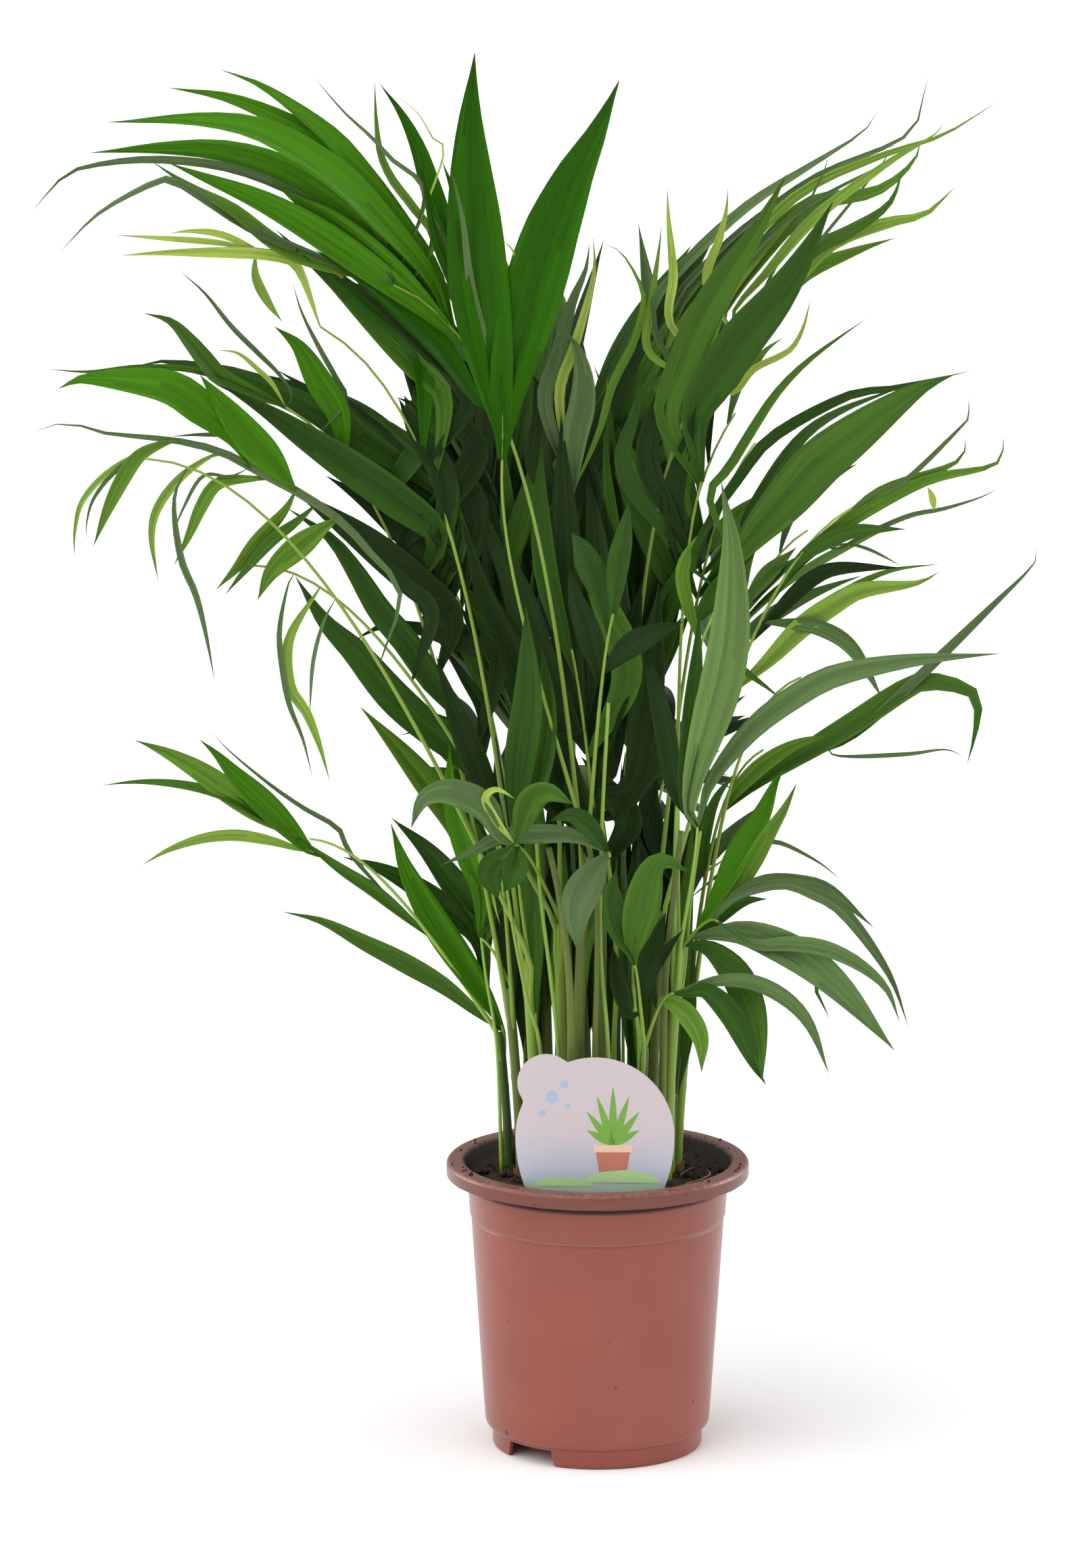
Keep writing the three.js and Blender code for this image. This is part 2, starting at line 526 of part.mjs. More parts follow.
// The leaflets of one frond, by a seeded rule
function leafletsOf(frond, rib, index) {
  const leaves = [];
  for (let i = 0; i < frond.pairs; i += 1) {
    const share = frond.pairs > 1 ? i / (frond.pairs - 1) : 1;
    for (const hand of [1, -1]) {
      const chance = seededChance(index * 1000 + i * 10 + hand + 5);
      const sway = (amount) => (chance() * 2 - 1) * amount;
      const place = share + sway(PLACE_VARIATION) / frond.pairs;
      const swell = frond.pairs > 2 ? SWELL[0] + SWELL[1] * share + SWELL[2] * share * share : 1;
      leaves.push({
        hand,
        at: Math.min(LAST_ROOT, frond.bare + (1 - frond.bare) * place),
        angle: THREE.MathUtils.lerp(...frond.spread, share) * (1 + sway(ANGLE_VARIATION)),
        lift: frond.vee + sway(LIFT_VARIATION),
        length: frond.long * swell * (1 + sway(LENGTH_VARIATION)),
        width: frond.wide * (1 + sway(WIDTH_VARIATION)),
        droop: frond.droop * (1 + sway(DROOP_VARIATION)),
        twist: sway(TWIST_VARIATION),
      });
    }
  }
  return leaves.map((leaf) => ({ ...leaf, rib, roll: frond.roll }));
}

function placedLeaf(leaf, turn, shrink) {
  const tangent = leaf.rib.curve.getTangent(leaf.at);
  const { side, face } = frondAxes(tangent, leaf.rib.out, leaf.roll);
  const angle = radians(leaf.angle + turn);
  const lift = radians(leaf.lift + turn);
  const outward = side.clone()
    .multiplyScalar(leaf.hand * Math.cos(lift))
    .addScaledVector(face, Math.sin(lift));
  const along = tangent.clone()
    .multiplyScalar(Math.cos(angle))
    .addScaledVector(outward, Math.sin(angle));
  const turned = face.clone().applyAxisAngle(along, radians(leaf.twist));
  return {
    base: ribPoint(leaf.rib, leaf.at),
    along,
    face: turned,
    length: leaf.length * shrink,
    width: leaf.width,
    droop: leaf.droop,
    out: leaf.rib.out,
  };
}

function boxesMeet(a, b) {
  return [0, 1, 2].every((axis) => a.min[axis] <= b.max[axis] && b.min[axis] <= a.max[axis]);
}

// What stands where, so that nothing grows through its neighbour
const taken = [];

function isFree(solid, owner) {
  const box = solid.boundingBox();
  return !taken.some((item) => {
    if (item.owner === owner || !boxesMeet(box, item.box)) {
      return false;
    }
    const shared = solid.intersect(item.solid);
    const hit = !shared.isEmpty();
    shared.delete();
    return hit;
  });
}

function claim(solid, owner) {
  taken.push({ solid, owner, box: solid.boundingBox() });
}

const palm = new THREE.Group();

function addNode(name, solid, colour, roughness) {
  const material = new THREE.MeshStandardMaterial({ color: colour, roughness, metalness: 0 });
  const mesh = new THREE.Mesh(toGeometry(solid), material);
  mesh.name = name;
  palm.add(mesh);
}

const pot = makePot();
const soil = makeSoil();
const label = makeLabel();
addNode('pot', pot, POT_COLOUR, 0.4);
addNode('soil', soil, SOIL_COLOUR, 0.95);
addNode('label', label, LABEL_COLOUR, 0.35);
[pot, soil, label].forEach((solid) => claim(solid, 'pot'));

STEMS.forEach((stem, i) => {
  const solid = makeStem(stem);
  const name = `stem_${String(i + 1).padStart(2, '0')}`;
  claim(solid, name);
  addNode(name, solid, STEM_GREEN, 0.55);
});

// The fronds of one stem stand in a ring on its top, in the order of their bearings
function frondFoot(frond) {
  const stem = STEMS[frond.stem];
  const [x, y, z] = stem.top;
  const bearing = ({ tip }) => Math.atan2(tip[1] - y, tip[0] - x);
  const mates = FRONDS.filter((other) => other.stem === frond.stem)
    .sort((one, other) => bearing(one) - bearing(other));
  const turn = bearing(mates[0]) + (mates.indexOf(frond) / mates.length) * Math.PI * 2;
  const ring = mates.length > 1 ? RIB_FOOT_RING + RIB_FOOT_CROWDING * mates.length : 0;
  return new THREE.Vector3(x + Math.cos(turn) * ring, y + Math.sin(turn) * ring, z + GAP);
}

function swayedRib(frond, foot, x, y) {
  const tip = new THREE.Vector3(frond.tip[0] + x, frond.tip[1] + y, frond.tip[2]);
  return ribCurve(foot, tip, frond.arch);
}

const grown = FRONDS.map((frond, index) => {
  const foot = frondFoot(frond);
  const name = `frond_${frond.name}`;
  const rib = RIB_TRIES.map(([x, y]) => swayedRib(frond, foot, x, y))
    .find((tried) => isFree(makeRib(tried, RIB_CLEARANCE), name)) ?? swayedRib(frond, foot, 0, 0);
  const solid = makeRib(rib, 0);
  claim(solid, name);
  return { frond, index, name, rib, solid };
});

for (const { frond, index, name, rib, solid } of grown) {
  let whole = solid;
  for (const leaf of leafletsOf(frond, rib, index)) {
    const fit = LEAF_TRIES.map(([turn, shrink]) => placedLeaf(leaf, turn, shrink))
      .find((placed) => isFree(leafletSolid(placed, LEAF_CLEARANCE), name));
    if (fit) {
      const added = leafletSolid(fit, 0);
      claim(added, name);
      whole = whole.add(added);
    }
  }
  addNode(name, whole.simplify(SLIVER), LEAF_GREENS[index % LEAF_GREENS.length], 0.45);
}

export default palm;
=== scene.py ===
"""A potted areca palm in its nursery pot, dressed for a studio portrait."""
import logging
import math
from collections.abc import Callable, Sequence
from dataclasses import dataclass, field, replace
from enum import Enum

import bpy
from mathutils import Matrix, Vector, noise


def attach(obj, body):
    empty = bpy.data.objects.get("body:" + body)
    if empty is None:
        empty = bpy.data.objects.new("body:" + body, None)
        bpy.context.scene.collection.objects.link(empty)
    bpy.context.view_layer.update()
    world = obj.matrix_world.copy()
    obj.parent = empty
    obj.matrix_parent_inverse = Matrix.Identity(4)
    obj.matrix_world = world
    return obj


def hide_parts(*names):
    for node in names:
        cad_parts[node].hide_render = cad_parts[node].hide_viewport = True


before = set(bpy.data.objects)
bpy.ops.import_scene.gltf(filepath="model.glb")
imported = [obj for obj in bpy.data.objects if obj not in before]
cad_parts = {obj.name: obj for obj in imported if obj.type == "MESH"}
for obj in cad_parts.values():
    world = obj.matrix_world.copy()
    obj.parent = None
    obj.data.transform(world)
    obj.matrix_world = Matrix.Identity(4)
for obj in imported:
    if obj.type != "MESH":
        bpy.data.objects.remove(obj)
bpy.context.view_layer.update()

log = logging.getLogger("areca_palm")

MM = 0.001
BODY = "root"
GRAIN = "grain"
IMAGE_WIDTH = 1596
IMAGE_HEIGHT = 2320
UP = Vector((0.0, 0.0, 1.0))
TURN = 2 * math.pi
# Radians that a wave texture runs through in one unit, at a scale of one
WAVES_PER_UNIT = 20

# Sizes that the part's source has too, in millimetres
POT_HEIGHT = 164.0
RIM_RADIUS = 85.0
RIM_INNER_RADIUS = 76.0
SOIL_TOP = 154.0
GAP = 0.3


def linear(colour: str) -> tuple[float, float, float, float]:
    """Turns a colour as it is seen on a screen into the renderer's linear light.

    Args:
        colour: An sRGB colour, such as "#3a661c".

    Returns:
        Red, green and blue in linear light, and an alpha of one.
    """
    parts = [int(colour[i:i + 2], 16) / 255 for i in (1, 3, 5)]
    red, green, blue = [c / 12.92 if c <= 0.04045 else ((c + 0.055) / 1.055) ** 2.4 for c in parts]
    return red, green, blue, 1.0


def lerp(low: float, high: float, share: float) -> float:
    """Returns the value at a share of the way from low to high."""
    return low + (high - low) * share


def seeded_chance(seed: int) -> Callable[[], float]:
    """Makes a run of numbers from 0 to 1 that is the same each time.

    Args:
        seed: A whole number that picks the run.

    Returns:
        A function that gives the next number.
    """
    word = 0xFFFFFFFF
    state = [seed & word]

    def step() -> float:
        """Mixes the state once.

        Returns:
            The next number of the run.
        """
        state[0] = (state[0] + 0x6D2B79F5) & word
        mixed = ((state[0] ^ (state[0] >> 15)) * (state[0] | 1)) & word
        mixed ^= (mixed + (((mixed ^ (mixed >> 7)) * (mixed | 61)) & word)) & word
        return ((mixed ^ (mixed >> 14)) & word) / (word + 1)

    return step


def flat(bearing: float, radius: float = 1.0) -> Vector:
    """Returns the point of the floor at a bearing in radians and a radius."""
    return Vector((math.cos(bearing) * radius, math.sin(bearing) * radius, 0.0))


def add_node(tree: bpy.types.NodeTree, kind: str, sockets: dict | None = None,
             **settings: str) -> bpy.types.Node:
    """Adds a node with its settings and links.

    Args:
        tree: The material's node tree.
        kind: The node's type name.
        sockets: A value or an output socket for each input, by name or number.
        settings: Values for the node's own properties.

    Returns:
        The new node.
    """
    node = tree.nodes.new(kind)
    for key, value in settings.items():
        setattr(node, key, value)
    for key, value in (sockets or {}).items():
        if isinstance(value, bpy.types.NodeSocket):
            tree.links.new(value, node.inputs[key])
        else:
            node.inputs[key].default_value = value
    return node


@dataclass
class Recipe:
    """A material in the making: its node tree, its surface shader and the nodes that finishes share."""

    material: bpy.types.Material

    @property
    def tree(self) -> bpy.types.NodeTree:
        """Returns the material's node tree."""
        return self.material.node_tree

    @property
    def shader(self) -> bpy.types.Node:
        """Returns the material's surface shader."""
        return self.tree.nodes["Principled BSDF"]

    def send(self, output: bpy.types.NodeSocket, socket: str) -> None:
        """Links an output to a socket of the surface shader."""
        self.tree.links.new(output, self.shader.inputs[socket])

    def place(self) -> bpy.types.NodeSocket:
        """Returns each point's place on the piece, in metres."""
        return add_node(self.tree, "ShaderNodeTexCoord").outputs["Object"]

    def height(self) -> bpy.types.NodeSocket:
        """Returns each point's height over the floor, in metres."""
        return add_node(self.tree, "ShaderNodeSeparateXYZ", {"Vector": self.place()}).outputs["Z"]

    def grain(self) -> bpy.types.NodeSocket:
        """Returns each point's place across and along the grain, in millimetres."""
        return add_node(self.tree, "ShaderNodeUVMap", uv_map=GRAIN).outputs["UV"]

    def noise(self, vector: bpy.types.NodeSocket, size: float, detail: float = 2.0,
              roughness: float = 0.5) -> bpy.types.NodeSocket:
        """Makes a cloudy noise.

        Args:
            vector: The coordinate that it follows.
            size: About how large its lumps are, in the coordinate's own unit.
            detail: How many finer layers lie on it.
            roughness: How strong the finer layers are.

        Returns:
            A value that is about a half on average.
        """
        sockets = {"Vector": vector, "Scale": 1 / size, "Detail": detail, "Roughness": roughness}
        return add_node(self.tree, "ShaderNodeTexNoise", sockets).outputs["Fac"]

    def stripes(self, period_mm: float, distortion: float, detail: float) -> bpy.types.NodeSocket:
        """Makes stripes that run along the grain.

        Args:
            period_mm: How far apart they are, in millimetres.
            distortion: How far they stray.
            detail: How many finer layers stray with them.

        Returns:
            A value that waves from nought to one across the stripes.
        """
        scale = TURN / WAVES_PER_UNIT / period_mm
        sockets = {"Vector": self.grain(), "Scale": scale, "Distortion": distortion, "Detail": detail,
                   "Detail Scale": 0.3}
        return add_node(self.tree, "ShaderNodeTexWave", sockets, bands_direction="X").outputs["Fac"]

    def ramp(self, value: bpy.types.NodeSocket, start: float, end: float, low: float = 0.0,
             high: float = 1.0) -> bpy.types.NodeSocket:
        """Returns a value that goes evenly from low, at the start, to high, at the end."""
        sockets = {"Value": value, "From Min": start, "From Max": end, "To Min": low, "To Max": high}
        return add_node(self.tree, "ShaderNodeMapRange", sockets).outputs["Result"]

    def work_out(self, operation: str, *values: bpy.types.NodeSocket | float) -> bpy.types.NodeSocket:
        """Returns the outcome of one operation on a few values."""
        sockets = dict(enumerate(values))
        return add_node(self.tree, "ShaderNodeMath", sockets, operation=operation).outputs["Value"]

    def blend(self, share: bpy.types.NodeSocket,
              *colours: bpy.types.NodeSocket | str) -> bpy.types.NodeSocket:
        """Blends two colours.

        Args:
            share: The way from the first colour to the second, from nought to one.
            colours: Both colours, each an sRGB colour or an output that gives one.

        Returns:
            The blended colour.
        """
        first, second = [linear(colour) if isinstance(colour, str) else colour for colour in colours]
        sockets = {"Factor": share, "A": first, "B": second}
        return add_node(self.tree, "ShaderNodeMix", sockets, data_type="RGBA").outputs["Result"]

    def relief(self, height: bpy.types.NodeSocket, strength: float, depth_mm: float,
               under: bpy.types.NodeSocket | None = None) -> bpy.types.NodeSocket:
        """Lays a fine relief on the surface.

        Args:
            height: The relief's height, from nought to one.
            strength: How strongly it shows.
            depth_mm: How deep it is, in millimetres.
            under: The normals of a relief that lies under it.

        Returns:
            The surface's normals.
        """
        sockets = {"Strength": strength, "Distance": depth_mm * MM, "Height": height}
        if under:
            sockets["Normal"] = under
        return add_node(self.tree, "ShaderNodeBump", sockets).outputs["Normal"]

    def tooth(self, size_mm: float, strength: float, depth_mm: float) -> None:
        """Gives the surface a fine tooth of this size and depth."""
        self.send(self.relief(self.noise(self.place(), size_mm * MM), strength, depth_mm), "Normal")


@dataclass(frozen=True)
class Finish:
    """What every finish has: a name, a colour and a gloss."""

    name: str
    colour: str
    roughness: float
    ior: float = 1.45

    def start(self) -> Recipe:
        """Starts a new material that has the colour and the gloss.

        Returns:
            The material in the making.
        """
        recipe = Recipe(bpy.data.materials.new(self.name))
        recipe.material.use_nodes = True
        recipe.shader.inputs["Base Color"].default_value = linear(self.colour)
        recipe.shader.inputs["Roughness"].default_value = self.roughness
        recipe.shader.inputs["IOR"].default_value = self.ior
        return recipe


@dataclass(frozen=True)
class WaxedLeaf(Finish):
    """Palm leaflet: a waxed cuticle over lengthwise veins, which break the light into long streaks."""

    specular: float = 0.22
    vein_mm: float = 1.1
    vein_depth_mm: float = 0.12
    streak_mm: tuple[float, float] = (2.8, 60.0)
    streak_depth_mm: float = 1.6
    # How much darker or paler a pleat's painted shade and painted light are
    contrast: float = 0.07
    gloss_swing: tuple[float, float] = (-0.1, 0.14)

    def shaded(self, shade: int) -> "WaxedLeaf":
        """Makes this finish a little darker or paler, as painted shade or painted light for a pleat.

        Args:
            shade: -1 for darker, 1 for paler, 0 to leave it as it is.

        Returns:
            The finish in that shade.
        """
        parts = [int(self.colour[i:i + 2], 16) for i in (1, 3, 5)]
        tint = "".join(f"{round(part * (1 + self.contrast * shade)):02x}" for part in parts)
        return replace(self, name=self.name + ("_dark", "", "_pale")[shade + 1], colour="#" + tint)

    def make(self) -> bpy.types.Material:
        """Makes the material: plain green, with veins and streaks in its relief and in its gloss.

        Returns:
            The material.
        """
        recipe = self.start()
        recipe.shader.inputs["Specular IOR Level"].default_value = self.specular
        drawn_out = {"Vector": recipe.grain(), "Scale": (1 / self.streak_mm[0], 1 / self.streak_mm[1], 1.0)}
        stretched = add_node(recipe.tree, "ShaderNodeMapping", drawn_out).outputs["Vector"]
        streaks = recipe.noise(stretched, 1.0, detail=3.0, roughness=0.6)
        glossy, dull = (self.roughness + change for change in self.gloss_swing)
        recipe.send(recipe.ramp(streaks, 0.3, 0.7, glossy, dull), "Roughness")
        folds = recipe.relief(streaks, strength=0.7, depth_mm=self.streak_depth_mm)
        veins = recipe.stripes(self.vein_mm, distortion=0.8, detail=1.0)
        recipe.send(recipe.relief(veins, 0.5, self.vein_depth_mm, under=folds), "Normal")
        return recipe.material


@dataclass(frozen=True)
class FibrousStalk(Finish):
    """Palm stalk: a smooth green skin over long fibres, which show as faint ridges."""

    fibre_mm: float = 0.9
    fibre_depth_mm: float = 0.12
    fleck_mm: float = 1 / 0.6
    gloss_swing: tuple[float, float] = (-0.1, 0.12)

    def make(self) -> bpy.types.Material:
        """Makes the material: one green, with fibres in its relief and flecks in its gloss.

        Returns:
            The material.
        """
        recipe = self.start()
        flecks = recipe.noise(recipe.grain(), self.fleck_mm, detail=3.0)
        glossy, dull = (self.roughness + change for change in self.gloss_swing)
        recipe.send(recipe.ramp(flecks, 0.0, 1.0, glossy, dull), "Roughness")
        fibres = recipe.stripes(self.fibre_mm, distortion=2.0, detail=2.0)
        recipe.send(recipe.relief(fibres, 0.5, self.fibre_depth_mm), "Normal")
        return recipe.material


@dataclass(frozen=True)
class MouldedPolypropylene(Finish):
    """Nursery pot: injection-moulded polypropylene satin, dusty at its rim and specked with soil."""

    melt: tuple[str, str] = ("#843f32", "#984e3f")
    melt_mm: float = 45.0
    dust: str = "#8e6559"
    rim_darker: str = "#703a2f"
    groove_mm: float = 132.0
    mud_and_shade: str = "#2e1c17"
    grit_mm: float = 3.0
    soil_mark: str = "#4a2c24"
    speck_mm: float = 17.0
    dusty_roughness: float = 0.9

    def band(self, recipe: Recipe, low: float, high: float, soft: float) -> bpy.types.NodeSocket:
        """Marks the part of the pot between two heights.

        Args:
            recipe: The material in the making.
            low: Where the band starts, in millimetres.
            high: Where it ends.
            soft: How far its edges fade.

        Returns:
            A value of one within the band and nought outside it.
        """
        height = recipe.height()
        rise = recipe.ramp(height, (low - soft) * MM, (low + soft) * MM)
        fall = recipe.ramp(height, (high + soft) * MM, (high - soft) * MM)
        return recipe.work_out("MULTIPLY", rise, fall)

    def washed_and_shaded(self, recipe: Recipe) -> bpy.types.NodeSocket:
        """Marks the inner wall up to the rim's inner edge, darkened by washed-up soil and by painted shade in
        the pot's mouth.

        Args:
            recipe: The material in the making.

        Returns:
            A value of one there and nought elsewhere.
        """
        level = {0: recipe.place(), 1: (1.0, 1.0, 0.0)}
        level = add_node(recipe.tree, "ShaderNodeVectorMath", level, operation="MULTIPLY").outputs["Vector"]
        away = add_node(recipe.tree, "ShaderNodeVectorMath", {0: level}, operation="LENGTH").outputs["Value"]
        inside = recipe.ramp(away, (RIM_INNER_RADIUS + 0.6) * MM, (RIM_INNER_RADIUS - 1.4) * MM)
        return recipe.work_out("MULTIPLY", inside, self.band(recipe, POT_HEIGHT - 14, POT_HEIGHT + 5, 1.0))

    def make(self) -> bpy.types.Material:
        """Makes the material: satin terracotta, flow marks, a darker rim band, dust on the rim, washed-up
        soil and painted shade on the inner wall, specks of soil.

        Returns:
            The material.
        """
        recipe = self.start()
        place, height = recipe.place(), recipe.height()
        # Flow of the melt, which leaves cloudy tones
        colour = recipe.blend(recipe.noise(place, self.melt_mm * MM), *self.melt)
        # The rim band, painted darker than the wall
        colour = recipe.blend(self.band(recipe, POT_HEIGHT - 8.6, POT_HEIGHT + 2, 0.5), colour, self.rim_darker)
        # The groove under the rim, where dust has settled in a pale line
        groove = self.band(recipe, self.groove_mm - 0.5, self.groove_mm + 0.5, 0.3)
        colour = recipe.blend(groove, colour, self.dust)
        # Washed-up soil on the inner wall, painted very dark so that it also paints the shade of the pot's
        # mouth
        washed_and_shaded = self.washed_and_shaded(recipe)
        colour = recipe.blend(washed_and_shaded, colour, self.mud_and_shade)
        # Dust in patches on the upper face of the rim
        grit = recipe.noise(place, self.grit_mm * MM, 4.0, 0.65)
        top = recipe.ramp(height, (POT_HEIGHT - 2.5) * MM, (POT_HEIGHT - 0.5) * MM)
        dusty = recipe.work_out("MULTIPLY", top, recipe.ramp(grit, 0.44, 0.7))
        colour = recipe.blend(dusty, colour, self.dust)
        # Specks of soil about 2 mm across, more of them near the foot
        cells = {"Vector": place, "Scale": 1 / (self.speck_mm * MM)}
        specks = add_node(recipe.tree, "ShaderNodeTexVoronoi", cells).outputs["Distance"]
        marked = recipe.work_out("LESS_THAN", specks, recipe.ramp(height, 60 * MM, 8 * MM, 0.045, 0.11))
        recipe.send(recipe.blend(marked, colour, self.soil_mark), "Base Color")
        matt = recipe.work_out("MAXIMUM", dusty, washed_and_shaded)
        recipe.send(recipe.ramp(matt, 0.0, 1.0, self.roughness, self.dusty_roughness), "Roughness")
        recipe.send(recipe.relief(grit, 0.25, 0.1), "Normal")
        return recipe.material


@dataclass(frozen=True)
class MoistPeat(Finish):
    """Potting soil: milled peat and coir, dark where it is moist and paler on its dry crumbs."""

    pale: str = "#4c352b"
    crumb_mm: float = 4.0
    crumb_depth_mm: float = 0.8

    def make(self) -> bpy.types.Material:
        """Makes the material: brown crumbs from 0.5 to 4 mm across, wholly matt.

        Returns:
            The material.
        """
        recipe = self.start()
        crumbs = recipe.noise(recipe.place(), self.crumb_mm * MM, 6.0, 0.7)
        recipe.send(recipe.blend(recipe.ramp(crumbs, 0.42, 0.72), self.colour, self.pale), "Base Color")
        recipe.send(recipe.relief(crumbs, 1.0, self.crumb_depth_mm), "Normal")
        return recipe.material


@dataclass(frozen=True)
class PrintedCard(Finish):
    """Plant label: polypropylene card, printed with a hazy sky over a green field."""

    haze: str = "#a3b2c8"
    field_green: str = "#9cba8c"
    middle_mm: float = 191.0
    drift_mm: float = 22.0
    drift_height_mm: float = 16.0

    def make(self) -> bpy.types.Material:
        """Makes the material: lilac white, a blue haze below the middle, green at the foot.

        Returns:
            The material.
        """
        recipe = self.start()
        drift = recipe.noise(recipe.place(), self.drift_mm * MM)
        swayed = recipe.work_out("MULTIPLY_ADD", drift, self.drift_height_mm * MM, recipe.height())
        sky = recipe.ramp(swayed, (self.middle_mm + 10) * MM, (self.middle_mm - 16) * MM, 0.0, 0.75)
        ground = recipe.ramp(swayed, (self.middle_mm - 14) * MM, (self.middle_mm - 24) * MM, 0.0, 0.85)
        hazy = recipe.blend(sky, self.colour, self.haze)
        recipe.send(recipe.blend(ground, hazy, self.field_green), "Base Color")
        recipe.tooth(0.8, 0.1, 0.05)
        return recipe.material


@dataclass(frozen=True)
class SolidInk(Finish):
    """Printing ink laid thickly on the card: one colour with a fine tooth."""

    def make(self) -> bpy.types.Material:
        """Makes the material: plain ink with a tooth of 0.5 mm.

        Returns:
            The material.
        """
        recipe = self.start()
        recipe.tooth(0.5, 0.15, 0.03)
        return recipe.material


@dataclass(frozen=True)
class PaintedFloor(Finish):
    """Studio floor: matt white paint."""

    def make(self) -> bpy.types.Material:
        """Makes the material: matt white with a faint roller texture of 6 mm.

        Returns:
            The material.
        """
        recipe = self.start()
        recipe.shader.inputs["Specular IOR Level"].default_value = 0.0
        recipe.tooth(6.0, 0.02, 0.1)
        return recipe.material


class Tone(Enum):
    """The greens of the leaflets: six from dark to pale, five with a cast of their own, and dry brown.

    Besides the leaves' own greens they hold painted light: the darkest paint the shade inside the clump,
    the palest paint the light through backlit leaves, and the grey ones paint sheen.
    """

    # Painted shade, for the leaves inside the clump
    DEEP = WaxedLeaf("leaflet_deep_green_waxed", "#1e340e", 0.46, specular=0.14)
    FOREST = WaxedLeaf("leaflet_forest_green_waxed", "#2e5110", 0.46, specular=0.18)
    MEADOW = WaxedLeaf("leaflet_meadow_green_waxed", "#3f6614", 0.46)
    BRIGHT = WaxedLeaf("leaflet_bright_green_waxed", "#58801f", 0.48)
    FRESH = WaxedLeaf("leaflet_fresh_green_waxed", "#7a9c38", 0.5)
    YOUNG = WaxedLeaf("leaflet_young_green_waxed", "#9fb84e", 0.5)
    # Grey-green painted sheen, for leaves that catch the light
    BLOOM = WaxedLeaf("leaflet_grey_painted_sheen", "#526b3c", 0.42, specular=0.3)
    LUSH = WaxedLeaf("leaflet_lush_green_waxed", "#295c04", 0.44, specular=0.08)
    VIVID = WaxedLeaf("leaflet_vivid_green_waxed", "#407808", 0.45, specular=0.12)
    SAGE = WaxedLeaf("leaflet_sage_green_waxed", "#54703a", 0.44, specular=0.3)
    PALE = WaxedLeaf("leaflet_pale_sheen_waxed", "#5c7c36", 0.4, specular=0.42, contrast=0.09)
    DRY = WaxedLeaf("leaflet_dry_tip_brown", "#8a6c3c", 0.7)

    def number(self, shade: int = 0) -> int:
        """Returns the place in a piece's list of materials of this tone's painted shade, middle or painted
        light.
        """
        return list(Tone).index(self) * 3 + shade + 1


class Skin(Enum):
    """The skins of stalks and stems, from pale to dark, and of dry sheaths."""

    STALK = FibrousStalk("stalk_yellow_green_smooth", "#7f9c34", 0.44)
    YOUNG_STALK = FibrousStalk("stalk_light_green_smooth", "#8fb544", 0.42)
    CANE = FibrousStalk("cane_olive_fibrous", "#5e6d26", 0.5)
    DARK_CANE = FibrousStalk("cane_deep_green_fibrous", "#3c5424", 0.5)
    HUSK = FibrousStalk("sheath_dry_brown", "#7a5a36", 0.75)

    @property
    def number(self) -> int:
        """Returns the place of this skin in a piece's list of materials."""
        return list(Skin).index(self)


def dress(kind: type[Enum]) -> list[bpy.types.Material]:
    """Returns one material for each member of a palette, in its order."""
    return [member.value.make() for member in kind]


def dress_leaves() -> list[bpy.types.Material]:
    """Returns three materials for each tone: the painted shade, the middle and the painted light of its
    pleats.
    """
    return [tone.value.shaded(shade).make() for tone in Tone for shade in (-1, 0, 1)]


